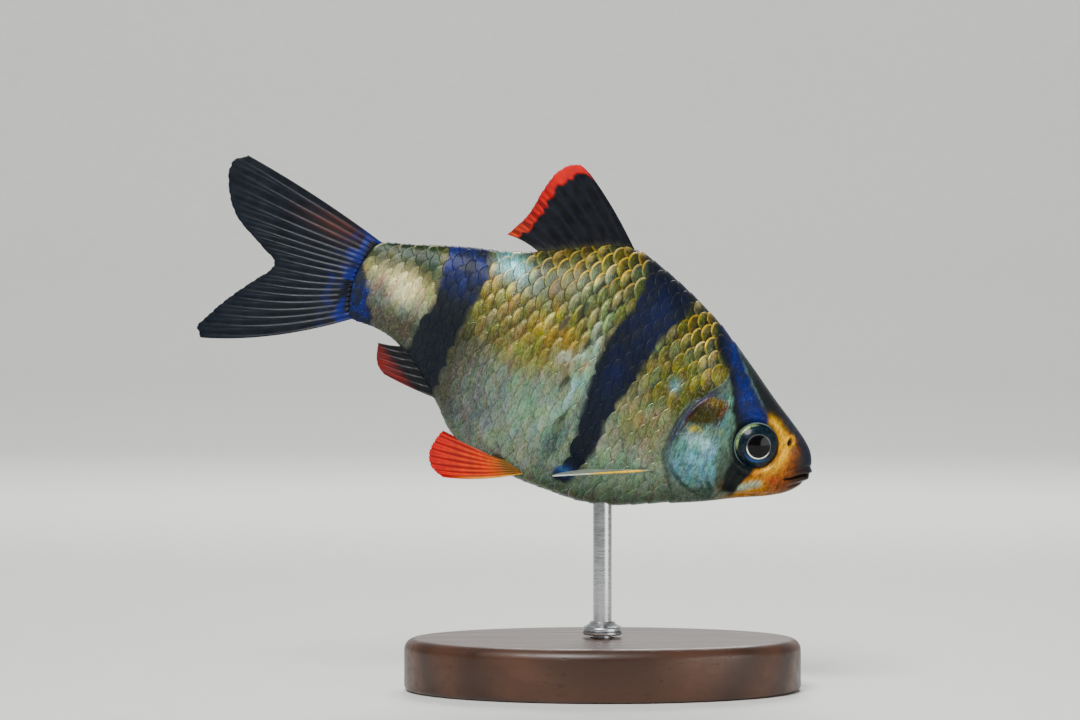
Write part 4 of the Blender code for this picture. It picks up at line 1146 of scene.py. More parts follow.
def scale_colours(draw, jitter, at, middle, along, across):
    """Colours and finish at the points of the plates: what the materials read, by name."""
    (at_s, at_h), (root_s, root_h) = at, middle
    # Band edges are taken partly at the scale's middle, so that they step from scale to scale
    step_s, step_h = at_s + 0.4 * (root_s - at_s), at_h + 0.2 * (root_h - at_h)
    hue, sheen, rough = markings(step_s, step_h, soft=0.7)
    open_skin = 1 - np.maximum.reduce([band_share(step_s, step_h, name, 0.1) for name in BANDS])
    rank = jitter[:, :, None, None]
    upper = ramp(at_h, -4.2, 5.5) * ramp(at_s, 40.0, 37.0)
    # Painted reflections: each scale is painted with a colour that it throws back, most strongly on the
    # upper flank
    casts = deepen(np.array([linear(*rgb) for rgb in SCALE_CASTS]))
    own = casts[draw.integers(0, len(casts), len(jitter))][:, None, None, :]
    reflected_share = (0.08 + 0.14 * upper) * open_skin * (0.6 + 0.4 * rank[:, 3])
    hue = paint(hue, own * np.ones_like(hue), reflected_share)
    hue = hue * (1 + (0.07 + 0.15 * upper) * rank[:, 2])[..., None]
    # Painted shadow: a dark stripe across the front of each scale's bare part, where the scale ahead shades
    # it
    shadow_streak = ramp(along, 0.85, 0.6) * (0.06 + 0.94 * upper) * open_skin
    hue = layered(hue, [((12, 16, 6), 0.9 * shadow_streak * np.clip(0.8 + 0.5 * rank[:, 4], 0, 1))])
    # Painted light and shade: each scale is painted lighter over its bare part, more so on the upper flank,
    # and darker elsewhere
    bare = ramp(along, 0.6, 0.85) * open_skin
    hue = hue * (0.85 + 0.4 * bare * (0.45 + 0.55 * upper))[..., None]
    # Painted highlights: some scales flash near their rear edge, pale gold above, pale cyan behind the
    # shoulder band
    flash = 0.62 * bell(along - 0.86, 0.08) * bell(across - 0.25, 0.32)
    flash = flash * ramp(rank[:, 4], 0.1, 0.8) * upper * open_skin
    near_band = blot(at_s, at_h, (24.0, 0.8), (1.5, 3.4))
    light = layered(evenly(linear(238, 214, 118), at_s), [((196, 240, 244), near_band)])
    hue = paint(hue, light, flash)
    # Painted highlight: a rim is painted brightest where it faces up to the light, and on some scales more
    # than on others
    shine = rim_glint(at_s, at_h) * (0.05 + 0.95 * open_skin) * (0.14 + 0.86 * ramp(across, -0.6, 0.4))
    shine = shine * np.clip(0.8 + 0.55 * rank[:, 0], 0.15, 1)
    # Patches of painted cyan glints: pale cyan rims and scales there, and more sheen
    cyan_glint = np.maximum.reduce([
        blot(at_s, at_h, (33.3, 6.9), (1.5, 1.1)),
        0.9 * blot(at_s, at_h, (14.65, 2.0), (0.6, 0.6)),
        0.5 * blot(at_s, at_h, (22.9, 0.6), (0.5, 2.6)),
    ])
    # Colour of the painted rim highlights: gold, pale cyan at the cyan glints, paler on some scales, whitish
    # on the tail stalk
    rim_hue = layered(evenly(linear(255, 206, 40), at_s), [
        ((190, 240, 244), cyan_glint),
        ((250, 238, 168), 0.6 * np.clip(rank[:, 3], 0, 1) * np.ones_like(at_s)),
        ((226, 232, 206), 0.8 * ramp(at_s, 39.6, 41.4)),
    ])
    hue = layered(hue, [((136, 228, 238), 0.95 * cyan_glint * open_skin * (0.7 + 0.3 * rank[:, 3]))])
    return {
        "hue": hue, "rim_hue": rim_hue, "sheen": np.clip(sheen + 0.2 * cyan_glint, 0, 1), "rough": rough,
        "rim_glint": shine, "dome": 0.2 + 0.8 * upper,
    }


def build_scales(side, word):
    """The scales of one side, each a thin curved plate that overlaps the next one back."""
    table = girth_table()
    roots = scale_roots(table)
    draw = np.random.default_rng(41 + side)
    jitter = draw.uniform(-1.0, 1.0, (len(roots), 5))
    along, across, far = plate_outline()
    base, normal, lift, middle_h, keep = lay_plates(table, roots, jitter, along, across)
    base, normal, lift, jitter, roots = (values[keep] for values in (base, normal, lift, jitter, roots))
    count, block = len(base), along.size
    length = roots[:, 3, None, None] * SCALE_LENGTH
    plates = np.stack([base + normal * rise[..., None] for rise in (lift, lift - SCALE_THICKNESS)], 1)
    plates = plates * np.array([1.0, float(side), 1.0])
    faces = slab_faces(*along.shape)
    if side < 0:
        faces = faces[:, ::-1]
    every = (np.arange(count) * 2 * block)[:, None, None] + faces
    piece = put_mesh(f"scales_{word}", to_world(plates.reshape(-1, 3)), every.reshape(-1, 4))

    middle = (roots[:, 0, None, None] + 0.45 * length, middle_h[keep][:, None, None])
    looks = scale_colours(draw, jitter, (base[..., 0], base[..., 2]), middle, along, across)
    looks["rim"] = far * length
    for name, values in looks.items():
        # A scale's top and underside carry the same values
        flat = values.reshape(count, 1, block, -1).repeat(2, axis=1)
        (put_colour if name.endswith("hue") else put_value)(piece, name, flat)
    unwrap_scales(piece, side, middle, along, across)
    skin_material(piece, f"scale_plates_{word}", with_scales=True)
    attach(piece, BODY)


def unwrap_scales(piece, side, middle, along, across):
    """Each scale is a patch about 0.003 across at its root's place on an unwrap of the skin."""
    s, h = (values[:, 0, 0] for values in middle)
    root = np.stack([0.5 + side * (0.02 + (h + 14.0) / 70.0), s / 60.0 + 0.05], 1)
    patch = np.stack([across * 0.0015, along * 0.003], -1).reshape(-1, 2)
    spots = (root[:, None, :] + patch)[:, None].repeat(2, axis=1).reshape(-1, 2)
    layer = piece.data.uv_layers.new(name="OFBake")
    corner = np.empty(len(piece.data.loops), np.int32)
    piece.data.loops.foreach_get("vertex_index", corner)
    layer.data.foreach_set("uv", spots[corner].astype(np.float32).ravel())


# Eyes


def eye_material(piece, name):
    """Black pupil in a thin ring with painted light on its lower side, dark blue-green iris, and a broken
    green outer ring with a painted glint.
    """
    nodes = Nodes(name)
    ring, low, high_rear = (nodes.attribute(key) for key in ("ring", "low", "high_rear"))

    def band(start, full, last, end):
        """1 between two rings of the eye, fading over its inner and its outer edge."""
        return nodes.times(nodes.span(ring, start, full), nodes.span(ring, end, last))

    grain = nodes.noise(nodes.place(), 2600.0, 3.0)
    tone = nodes.mix(nodes.span(ring, 1.0, 1.06), (0.0006, 0.0006, 0.001), (0.002, 0.006, 0.012))
    iris = nodes.mix(nodes.span(grain, 0.4, 0.66), (0.001, 0.004, 0.008), (0.004, 0.018, 0.03))
    tone = nodes.mix(nodes.span(ring, 1.2, 1.4), tone, iris)
    thin = band(1.08, 1.12, 1.17, 1.23)
    # Painted light: the thin ring round the pupil is bright on its lower side only
    bright = nodes.times(thin, nodes.span(low, 0.05, 0.32, 0.07, 1.0))
    broken = nodes.span(nodes.noise(nodes.place(), 1700.0, 2.0), 0.36, 0.56, 0.15, 1.0)
    outer = nodes.times(band(1.86, 1.96, 2.04, 2.14), broken)
    # Painted glint on the outer ring towards its upper rear, and its pale edge painted lighter towards the
    # upper rear
    lit = nodes.times(outer, nodes.span(high_rear, 0.45, 0.88))
    edge = nodes.times(band(2.1, 2.15, 2.19, 2.25), nodes.span(high_rear, -0.35, 0.3, 0.06, 0.5))
    under = nodes.times(band(1.24, 1.34, 1.46, 1.62), nodes.span(low, 0.3, 0.7))
    for amount, shade in (
        (bright, (0.95, 0.93, 0.82)), (lit, (0.42, 0.6, 0.2)),
        (edge, (0.24, 0.34, 0.3)), (under, (0.01, 0.06, 0.2)),
    ):
        tone = nodes.mix(amount, tone, shade)
    nodes.finish(
        piece, Base_Color=tone, Metallic=nodes.times(nodes.maths("ADD", thin, outer), 0.35),
        Roughness=nodes.span(ring, 0.9, 1.3, 0.12, 0.3),
        Coat_Weight=0.3, Coat_Roughness=0.02, Coat_IOR=1.38, Specular_IOR_Level=0.1,
    )


def build_eye(side, word):
    """An eyeball that bulges at its pupil, set in the skin's socket."""
    segments, rings = 96, 56
    polar = np.linspace(0.0, math.pi, rings + 2)[1:-1]
    around = np.linspace(0.0, 2 * math.pi, segments, endpoint=False)
    sin, cos = np.sin(polar)[:, None], np.cos(polar)[:, None]
    unit = np.stack([sin * np.cos(around), side * cos * np.ones_like(around), sin * np.sin(around)], -1)
    unit = np.concatenate([[[0.0, side, 0.0]], unit.reshape(-1, 3), [[0.0, -side, 0.0]]])
    bulge = 1 + 0.1 * bell(np.hypot(unit[:, 0], unit[:, 2]), 0.55) * (unit[:, 1] * side > 0)
    across, out, up = (unit * np.array([EYE_RADIUS, EYE_DEPTH, EYE_RADIUS])).T
    out = out * bulge / 1.1
    turn = -side * EYE_TURN
    s = across * math.cos(turn) + out * math.sin(turn)
    y = -across * math.sin(turn) + out * math.cos(turn)
    placed = np.stack([s + EYE_CENTRE[0], y + side * EYE_OUT, up + EYE_CENTRE[1]], 1)
    last = 1 + (rings - 1) * segments
    faces = grid_faces(rings, segments, wrap=True, start=1).tolist()
    faces += [(0, 1 + j, 1 + (j + 1) % segments) for j in range(segments)]
    faces += [(len(unit) - 1, last + (j + 1) % segments, last + j) for j in range(segments)]
    if side < 0:
        faces = [face[::-1] for face in faces]
    piece = put_polygons(f"eyeball_{word}", to_world(placed), faces)
    put_value(piece, "ring", np.hypot(across, up))
    put_value(piece, "low", (-0.13 * across - 0.99 * up) / EYE_RADIUS)
    put_value(piece, "high_rear", (0.93 * across + 0.36 * up) / EYE_RADIUS)
    eye_material(piece, f"eye_{word}")
    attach(piece, BODY)
    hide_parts(f"eye_{word}")


# Fins


def curved_ray(root, tip, bow, rows):
    root, tip = np.array(root, float), np.array(tip, float)
    t = np.linspace(0.0, 1.0, rows)[:, None]
    line = root + (tip - root) * t
    line[:, 2] += 4 * bow * (t * (1 - t))[:, 0]
    return line


def sunk(root, tip, depth):
    root, tip = np.array(root, float), np.array(tip, float)
    return root + (root - tip) / np.linalg.norm(tip - root) * depth


def sunk_ray(root, tip, bow):
    """A ray whose root lies inside the body."""
    return curved_ray(sunk(root, tip, RAY_ROOT_SINK), tip, bow, FIN_ROWS)


def spread_rays(rays):
    """Points between the rays, on a smooth curve across them, for each row."""
    rays = np.array(rays)
    place = np.arange(len(rays), dtype=float)
    at = np.linspace(0.0, len(rays) - 1.0, (len(rays) - 1) * GAP_COLUMNS + 1)
    columns = np.empty((len(at), rays.shape[1], 3))
    for r in range(rays.shape[1]):
        for axis in range(3):
            columns[:, r, axis] = through(np.stack([place, rays[:, r, axis]], 1), at)
    return at, columns


def ray_share(at, columns, unbranched, first_split=0.4, second_split=0.66):
    """1 on the middle of a ray or of one of its branches, 0 on the membrane."""
    reach = np.linspace(0.0, 1.0, columns.shape[1])[None, :]
    wide = np.linalg.norm(np.gradient(columns, axis=0), axis=2) * GAP_COLUMNS
    off = np.abs(at - np.round(at))[:, None]
    splits = (np.round(at) >= unbranched)[:, None]
    far = np.abs(off - 0.2 * ramp(reach, first_split, 0.95) * splits)
    far = np.abs(far - 0.085 * ramp(reach, second_split, 1.0) * splits)
    thick = 0.17 - 0.11 * reach
    return np.exp(-((far * wide / thick) ** 2))


def half_thickness(fin, at, ridge, root_swell, slim_root, oval_root):
    """Half the fin's thickness: raised rays on a thin membrane, and a fleshy root."""
    thin = bpy.context.scene.barb_shape.membrane / MM / 2
    share, reach = fin["ray"], fin["reach"]
    out = reach * fin["length"]
    half = thin + ridge / 2 * share * (1.15 - 0.95 * reach)
    swell = root_swell * bell(np.maximum(out - RAY_ROOT_SINK, 0.0), 0.7) * (0.7 + 0.3 * share)
    if oval_root:
        # No thicker than the stalk's end, which narrows to its upper and lower edge
        oval = np.sqrt(np.maximum(1 - (2 * at[:, None] / at[-1] - 1) ** 2, 0.0))
        buried = ramp(out, RAY_ROOT_SINK + 0.3, RAY_ROOT_SINK - 0.5)
        swell *= oval * (1 - 0.75 * buried)
        half *= 1 - 0.7 * buried * (1 - 0.6 * oval)
    half = (half + swell) * (1.0 - slim_root * ramp(out, 3.2, 1.2))
    half[:, -1] *= 0.35
    half[0] *= 0.6
    half[-1] *= 0.4
    return half


def build_fin(
    name, rays, replaced, paint_fin,
    ridge=0.2, root_swell=0.3, unbranched=1, gloss=0.35, slim_root=0.0, oval_root=False,
):
    """A thin membrane with raised, branching rays. paint_fin gives its colour and opacity."""
    at, columns = spread_rays(rays)
    count, rows = columns.shape[:2]
    share = ray_share(at, columns, unbranched)
    # The margin dips a little between the rays
    last_step = columns[:, -1] - columns[:, -2]
    columns[:, -1] -= last_step * np.clip(0.9 * (1 - share[:, -1]) - 0.3, 0, 1)[:, None]
    normal = np.cross(np.gradient(columns, axis=1), np.gradient(columns, axis=0))
    normal /= np.linalg.norm(normal, axis=2)[:, :, None]
    length = np.linalg.norm(columns[:, -1] - columns[:, 0], axis=1)[:, None]
    reach = np.linspace(0.0, 1.0, rows)[None, :] * np.ones((count, 1))
    fin = {
        "at": at[:, None] * np.ones((1, rows)), "reach": reach, "ray": share, "length": length,
        "s": columns[:, :, 0], "h": columns[:, :, 2], "from_rim": (1 - reach) * length,
        "from_body": reach * length - RAY_ROOT_SINK,
    }
    half = half_thickness(fin, at, ridge, root_swell, slim_root, oval_root)[:, :, None]
    points = np.stack([columns + normal * half, columns - normal * half])
    piece = put_mesh(name, to_world(points.reshape(-1, 3)), slab_faces(count, rows))
    hue, solid = paint_fin(fin)
    put_colour(piece, "hue", np.stack([hue, hue]))
    for key, values in (("solid", np.clip(solid, 0, 1)), ("ray", share), ("reach", fin["from_body"] * 0.42)):
        put_value(piece, key, np.stack([values, values]))
    fin_material(piece, f"{name}_finish", gloss, clear=solid.min() < 1.0)
    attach(piece, BODY)
    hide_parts(replaced)


def line_rays(base, rim, count, line, inward, bow):
    """Rays of a fin that stands on the back or the belly line."""
    starts = np.linspace(base[0], base[1], count)
    tips = along_rim(rim, np.linspace(0.0, 1.0, count))
    return [
        sunk_ray((s, 0.0, float(along_body(line, s)) + inward), (tip_s, 0.0, tip_h), bow)
        for s, (tip_s, tip_h) in zip(starts, tips)
    ]


def caudal_rays():
    high, low = CAUDAL_ROOT_HEIGHT
    count = CAUDAL_UPPER_RAYS + CAUDAL_LOWER_RAYS
    upper = along_rim(CAUDAL_UPPER_RIM, np.linspace(0.0, 1.0, CAUDAL_UPPER_RAYS))
    lower = along_rim(CAUDAL_LOWER_RIM, np.linspace(0.0, 1.0, CAUDAL_LOWER_RAYS))
    rays = []
    for i, (tip_s, tip_h) in enumerate(np.concatenate([upper, lower])):
        share = i / (count - 1)
        root_s = STANDARD_LENGTH + TAIL_ROUNDING * (1 - (2 * share - 1) ** 2)
        bow = CAUDAL_BOW[0] * max(0.0, 1 - 2 * share) + CAUDAL_BOW[1] * max(0.0, 2 * share - 1)
        rays.append(sunk_ray((root_s, 0.0, high + (low - high) * share), (tip_s, 0.0, tip_h), bow))
    return rays


def pelvic_rays(side):
    tips = along_rim(PELVIC_RIM, np.linspace(0.0, 1.0, PELVIC_RAYS))
    roots = np.linspace(*np.array(PELVIC_ROOT), PELVIC_RAYS)
    outs = side * np.linspace(*np.array(PELVIC_OUT), PELVIC_RAYS)
    rays = []
    for i, ((root_s, root_h), (tip_s, tip_h), (inner, outer)) in enumerate(zip(roots, tips, outs)):
        bow = -0.35 * (1 - i / (PELVIC_RAYS - 1))
        rays.append(sunk_ray((root_s, inner, root_h), (tip_s, outer, tip_h), bow))
    return rays


def pectoral_rays(side):
    back = np.array([math.cos(PITCH), 0.0, -math.sin(PITCH)])
    up = np.array([math.sin(PITCH), 0.0, math.cos(PITCH)])
    out = np.array([0.0, side, 0.0]) * math.cos(PECTORAL_DROOP) - up * math.sin(PECTORAL_DROOP)
    s, h = PECTORAL_ROOT
    start = np.array([s, side * float(side_width(s, h)), h])
    rays = []
    for i in range(PECTORAL_RAYS):
        share = i / (PECTORAL_RAYS - 1)
        turn = PECTORAL_SPREAD[0] + (PECTORAL_SPREAD[1] - PECTORAL_SPREAD[0]) * share**0.8
        length = PECTORAL_LENGTH[0] + (PECTORAL_LENGTH[1] - PECTORAL_LENGTH[0]) * share**1.3
        root = start - out * PECTORAL_ROOT_WIDTH * share + back * 0.9 * share
        tip = root + length * (math.cos(turn) * back + math.sin(turn) * out)
        within = curved_ray(sunk(root, tip, 0.8) - out * 0.7, root, 0.0, ROOT_ROWS + 1)[:-1]
        rays.append(np.concatenate([within, curved_ray(root, tip, 0.0, FIN_ROWS - ROOT_ROWS)]))
    return rays


def paint_dorsal(fin):
    """Black, with a scarlet margin over the tip and down the trailing edge."""
    ragged = lattice_noise(fin["at"] * 3, fin["reach"], 0.9, 31)
    wide = 1.3 - 0.25 * fin["at"] / (DORSAL_RAYS - 1) + 0.3 * ragged
    margin = ramp(fin["from_rim"], wide + 0.2, wide - 0.2) * ramp(fin["at"], 0.15, 0.9)
    return layered(evenly(linear(3, 5, 10), fin["s"]), [
        ((12, 20, 34), 0.6 * fin["ray"] * ramp(fin["from_body"], 0.0, 2.0)),
        ((60, 58, 30), 0.7 * ramp(fin["from_body"], 0.7, -0.1)),
        ("scarlet", margin),
        ((212, 66, 8), 0.8 * margin * ramp(fin["at"], 6.2, 9.0)),
        ((60, 4, 2), 0.8 * margin * (1 - fin["ray"]) * ramp(fin["at"], 2.4, 5.6)),
    ]), np.ones_like(fin["s"])


def paint_caudal(fin):
    """Smoky dark blue, with the tail band's blue at its root and dull red rays in the upper lobe."""
    clouds = lattice_noise(fin["s"], fin["h"], 1.6, 33)
    warm = blot(fin["s"], fin["h"], (50.6, 3.9), (2.6, 0.9), lean=0.6)
    root = ramp(fin["from_body"], 3.4, 0.6)
    blue = np.clip(0.2 + 1.3 * lattice_noise(fin["s"], fin["h"], 0.6, 23), 0, 1)
    return layered(evenly(colour("smoke"), fin["s"]), [
        ((12, 25, 37), 0.7 * fin["ray"]),
        ((3, 7, 12), 0.6 * np.clip(clouds, 0, 1)),
        ((112, 30, 16), 0.8 * warm * fin["ray"]),
        ((58, 32, 20), 0.5 * warm),
        ("band", 0.8 * root),
        ("band_blue", 0.8 * root * blue),
    ]), np.ones_like(fin["s"])


def paint_anal(fin):
    """Black with dull red towards its edge."""
    out = fin["from_body"]
    return layered(evenly(linear(4, 6, 10), fin["s"]), [
        ((84, 12, 6), 0.8 * ramp(out, 1.4, 3.4)),
        ((140, 22, 8), 0.5 * fin["ray"] * ramp(out, 1.8, 3.6)),
        ((3, 4, 7), 0.7 * fin["ray"] * ramp(out, 2.6, 1.4)),
    ]), np.ones_like(fin["s"])


def paint_pelvic(fin):
    """Scarlet rays that turn orange and yellow towards the root."""
    reach, out = fin["reach"], fin["from_body"]
    return layered(evenly(colour("scarlet"), fin["s"]), [
        ((104, 4, 2), 0.8 * (1 - fin["ray"])),
        ((238, 84, 10), 0.7 * fin["ray"] * ramp(reach, 1.0, 0.4)),
        ((158, 86, 10), 0.85 * ramp(out, 2.4, 0.2)),
        ((112, 92, 30), 0.7 * ramp(out, 0.7, 0.0)),
        ((244, 168, 40), 0.85 * ramp(fin["at"], 0.8, 0.1) * ramp(reach, 0.9, 0.4)),
    ]), np.ones_like(fin["s"])


def paint_pectoral(fin):
    """Clear, with faint rays, and a leading ray with painted highlights: yellow in its middle and white at
    its tip.
    """
    reach = fin["reach"]
    lead = ramp(fin["at"], 0.75, 0.2)
    hue = layered(evenly(linear(150, 160, 146), fin["s"]), [
        ((98, 108, 100), 0.5 * (1 - fin["ray"])),
        ((74, 34, 16), 0.85 * bell(fin["at"] - 1.0, 0.3) * ramp(reach, 0.2, 0.34) * ramp(reach, 0.8, 0.6)),
        # Painted highlight along the leading ray: yellow in its middle, white towards its tip
        ((248, 196, 20), lead * ramp(reach, 0.14, 0.24) * ramp(reach, 0.76, 0.6)),
        ((226, 232, 218), 0.8 * lead * ramp(reach, 0.55, 0.8)),
        ((96, 100, 70), 0.7 * lead * ramp(reach, 0.2, 0.1)),
    ])
    return hue, 0.28 + 0.4 * fin["ray"] + 0.6 * lead + 0.5 * ramp(fin["from_body"], 1.2, 0.0)


# Stand


def turned(name, rings, sides):
    """A closed piece from oval rings (half length, half width, height) about the rod's axis."""
    rings = np.array(rings, float)
    turn = np.linspace(0.0, 2 * math.pi, sides, endpoint=False)
    x = ROD_X + rings[:, 0, None] * np.cos(turn)
    y = rings[:, 1, None] * np.sin(turn)
    z = rings[:, 2, None] * np.ones_like(turn)
    ends = [(ROD_X, 0.0, rings[0, 2]), (ROD_X, 0.0, rings[-1, 2])]
    points = np.concatenate([np.stack([x, y, z], -1).reshape(-1, 3), ends]) * MM
    first = len(points) - 2
    top = (len(rings) - 1) * sides
    faces = grid_faces(len(rings), sides, wrap=True)[:, ::-1].tolist()
    faces += [(first, (j + 1) % sides, j) for j in range(sides)]
    faces += [(first + 1, top + j, top + (j + 1) % sides) for j in range(sides)]
    piece = put_polygons(name, points, faces)
    piece.data.set_sharp_from_angle(angle=math.radians(40.0))
    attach(piece, BODY)
    return piece


def build_base():
    """The oval plinth, with rounded edges and a socket for the rod."""
    sides = (BASE_LENGTH / 2, BASE_WIDTH / 2)
    lower_edge = [(0.5, 0.0), (0.24, 0.12), (0.07, 0.3), (0.0, 0.5)]
    turns = np.linspace(0.0, math.pi / 2, 13)
    upper_edge = [
        (BASE_EDGE * (1 - math.cos(turn)), BASE_HEIGHT - BASE_EDGE * (1 - math.sin(turn))) for turn in turns
    ]
    rings = [(*(side - inset for side in sides), z) for inset, z in lower_edge + upper_edge]
    hole = ROD_RADIUS + SOCKET_CLEARANCE
    for share in (0.25, 0.5, 0.75, 1.0):
        rings.append((*((side - BASE_EDGE) * (1 - share) + hole * share for side in sides), BASE_HEIGHT))
    rings.append((hole, hole, BASE_HEIGHT - ROD_SOCKET - SOCKET_CLEARANCE))
    base = turned("stand_plinth", rings, 160)
    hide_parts("stand_base")
    wood_finish(base)


def build_rod():
    """The rod, with its rounded top let into the belly and a grooved collar at its foot."""
    foot = BASE_HEIGHT + SOCKET_CLEARANCE
    bend = ROD_TOP + ROD_IN_BELLY - ROD_ROUNDING
    # The collar from below: how far it falls short of its full radius, and the height above its foot
    collar = [
        (0.1, 0.0), (0.0, 0.1), (0.0, 0.3), (0.1, 0.36), (0.0, 0.42), (0.0, 0.62), (0.04, 0.72), (0.16, 0.8),
        (0.58, 1.02), (0.7, 1.2), (0.8, COLLAR_HEIGHT),
    ]
    profile = [(ROD_RADIUS, BASE_HEIGHT - ROD_SOCKET), (ROD_RADIUS, foot)]
    profile += [(COLLAR_RADIUS - short, foot + z) for short, z in collar]
    profile += [(ROD_RADIUS, foot + COLLAR_HEIGHT), (ROD_RADIUS, bend)]
    for turn in np.linspace(0.2, 1.35, 6):
        profile.append((ROD_RADIUS * math.cos(turn), bend + ROD_ROUNDING * math.sin(turn)))
    rod = turned("stand_pin", [(radius, radius, z) for radius, z in profile], 72)
    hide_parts("stand_rod")
    steel_finish(rod)


def wood_finish(piece):
    """Dark oiled wood, with its grain running along the base."""
    nodes = Nodes("stand_dark_wood")
    wood = colour("wood")
    length = nodes.stretched(nodes.place(), (0.12, 1.0, 0.8))
    grain = nodes.noise(length, 900.0, 8.0, 0.62)
    rings = nodes.waves(
        length, wave_type="RINGS", rings_direction="X", Scale=95.0, Distortion=5.0, Detail=3.0,
    )
    pores = nodes.span(nodes.noise(length, 5200.0, 2.0), 0.62, 0.7)
    tone = nodes.shades(rings, wood, 0.62, 1.5)
    tone = nodes.mix(nodes.span(grain, 0.3, 0.7, 0.0, 0.6), tone, tuple(wood * 0.8))
    tone = nodes.mix(nodes.times(pores, 0.5), tone, tuple(wood * 0.25))
    nodes.finish(
        piece, Base_Color=tone, Roughness=nodes.span(grain, 0.3, 0.7, 0.32, 0.48),
        Normal=nodes.bump(nodes.maths("SUBTRACT", grain, pores), 0.05 * MM, 0.35),
        Coat_Weight=0.15, Coat_Roughness=0.25, Specular_IOR_Level=0.35,
    )


def steel_finish(piece):
    """Turned steel with fine rings round the rod."""
    nodes = Nodes("stand_turned_steel")
    lines = nodes.noise(nodes.stretched(nodes.place(), (0.08, 0.08, 1.0)), 9000.0, 4.0, 0.7)
    nodes.finish(
        piece, Base_Color=nodes.shades(nodes.span(lines, 0.3, 0.7), colour("steel"), 0.78, 1.1),
        Metallic=1.0, Roughness=nodes.span(lines, 0.3, 0.7, 0.22, 0.36),
        Normal=nodes.bump(lines, 0.01 * MM, 0.3),
    )


# Stage. The studio's lights are given by place, target and size in metres, and power in watts

CAMERA_PLACE = (3.62 * MM, 31.6 * MM)
MODEL_MIDDLE = (0.0, 0.0, 26.0 * MM)
WALL_MIDDLE = (0.0, 1.45, 0.25)
SKY_COLOUR, SKY_STRENGTH = (0.86, 0.89, 0.93, 1.0), 0.3
# The floor's profile: radius and height in metres
FLOOR_PROFILE = [
    (0.1, 0.0), (0.25, 0.0), (0.5, 0.0), (0.8, 0.0), (1.0, 0.02), (1.15, 0.07), (1.28, 0.17), (1.38, 0.34),
    (1.44, 0.6), (1.47, 0.95),
]
FLOOR_SIDES = 96


def add_light(name, place, target, size, power):
    light = bpy.data.lights.new(name, "AREA")
    light.shape = "DISK"
    light.size = size
    light.energy = power
    holder = bpy.data.objects.new(name, light)
    holder.location = place
    x, y, z = np.array(place) - np.array(target)
    holder.rotation_euler = (math.atan2(math.hypot(x, y), z), 0.0, math.atan2(y, x) + math.pi / 2)
    bpy.context.scene.collection.objects.link(holder)


def add_camera(stage):
    """The camera looks level along the model's y axis, from the fish's right."""
    camera = bpy.data.cameras.new("camera")
    camera.lens = stage.lens
    camera.sensor_width = 36.0
    camera.clip_start = 0.01
    stand = bpy.data.objects.new("camera", camera)
    stand.location = (CAMERA_PLACE[0], -stage.distance, CAMERA_PLACE[1])
    stand.rotation_euler = (math.radians(90.0), 0.0, 0.0)
    bpy.context.scene.collection.objects.link(stand)
    bpy.context.scene.camera = stand


def build_floor(stage):
    """A round pale floor that curves up far away on every side."""
    turn = np.linspace(0.0, 2 * math.pi, FLOOR_SIDES, endpoint=False)
    rings = [
        np.stack([r * np.cos(turn), r * np.sin(turn), np.full(FLOOR_SIDES, z)], 1) for r, z in FLOOR_PROFILE
    ]
    points = np.concatenate([[[0.0, 0.0, 0.0]], *rings])
    faces = grid_faces(len(rings), FLOOR_SIDES, wrap=True, start=1).tolist()
    faces += [(0, 1 + j, 1 + (j + 1) % FLOOR_SIDES) for j in range(FLOOR_SIDES)]
    floor = put_polygons("floor", points, faces)
    nodes = Nodes("pale_floor")
    specks = nodes.noise(nodes.place(), 220.0, 5.0)
    tone = nodes.shades(nodes.span(specks, 0.35, 0.65), np.array(stage.floor), 0.985, 1.01)
    nodes.finish(floor, Base_Color=tone, Roughness=nodes.span(specks, 0.3, 0.7, 0.5, 0.6))


def set_sky():
    world = bpy.data.worlds.new("studio")
    world.use_nodes = True
    background = world.node_tree.nodes["Background"].inputs
    background["Color"].default_value = SKY_COLOUR
    background["Strength"].default_value = SKY_STRENGTH
    bpy.context.scene.world = world


# Operators


class BARB_OT_skin(Operator):
    """Lay one skin over the head, trunk, tail stalk and gill covers"""

    bl_idname = "barb.skin"
    bl_label = "Skin"

    def execute(self, context):
        build_skin()
        return {"FINISHED"}


class BARB_OT_scales(Operator):
    """Cover both flanks with overlapping scales"""

    bl_idname = "barb.scales"
    bl_label = "Scales"

    def execute(self, context):
        for side, word in SIDES:
            build_scales(side, word)
        return {"FINISHED"}


class BARB_OT_eyes(Operator):
    """Set both eyes in their sockets"""

    bl_idname = "barb.eyes"
    bl_label = "Eyes"

    def execute(self, context):
        for side, word in SIDES:
            build_eye(side, word)
        return {"FINISHED"}


class BARB_OT_middle_fins(Operator):
    """Make the dorsal, tail and anal fins"""

    bl_idname = "barb.middle_fins"
    bl_label = "Dorsal, tail and anal fins"

    def execute(self, context):
        dorsal = line_rays(DORSAL_BASE, DORSAL_RIM, DORSAL_RAYS, BACK_LINE, inward=-0.4, bow=0.35)
        anal = line_rays(ANAL_BASE, ANAL_RIM, ANAL_RAYS, BELLY_LINE, inward=0.35, bow=-0.15)
        build_fin(
            "dorsal_sail", dorsal, "dorsal_fin", paint_dorsal, root_swell=0.16, unbranched=2,
        )
        build_fin("anal_sail", anal, "anal_fin", paint_anal, ridge=0.24)
        build_fin(
            "tail_sail", caudal_rays(), "caudal_fin", paint_caudal,
            root_swell=0.46, oval_root=True,
        )
        return {"FINISHED"}


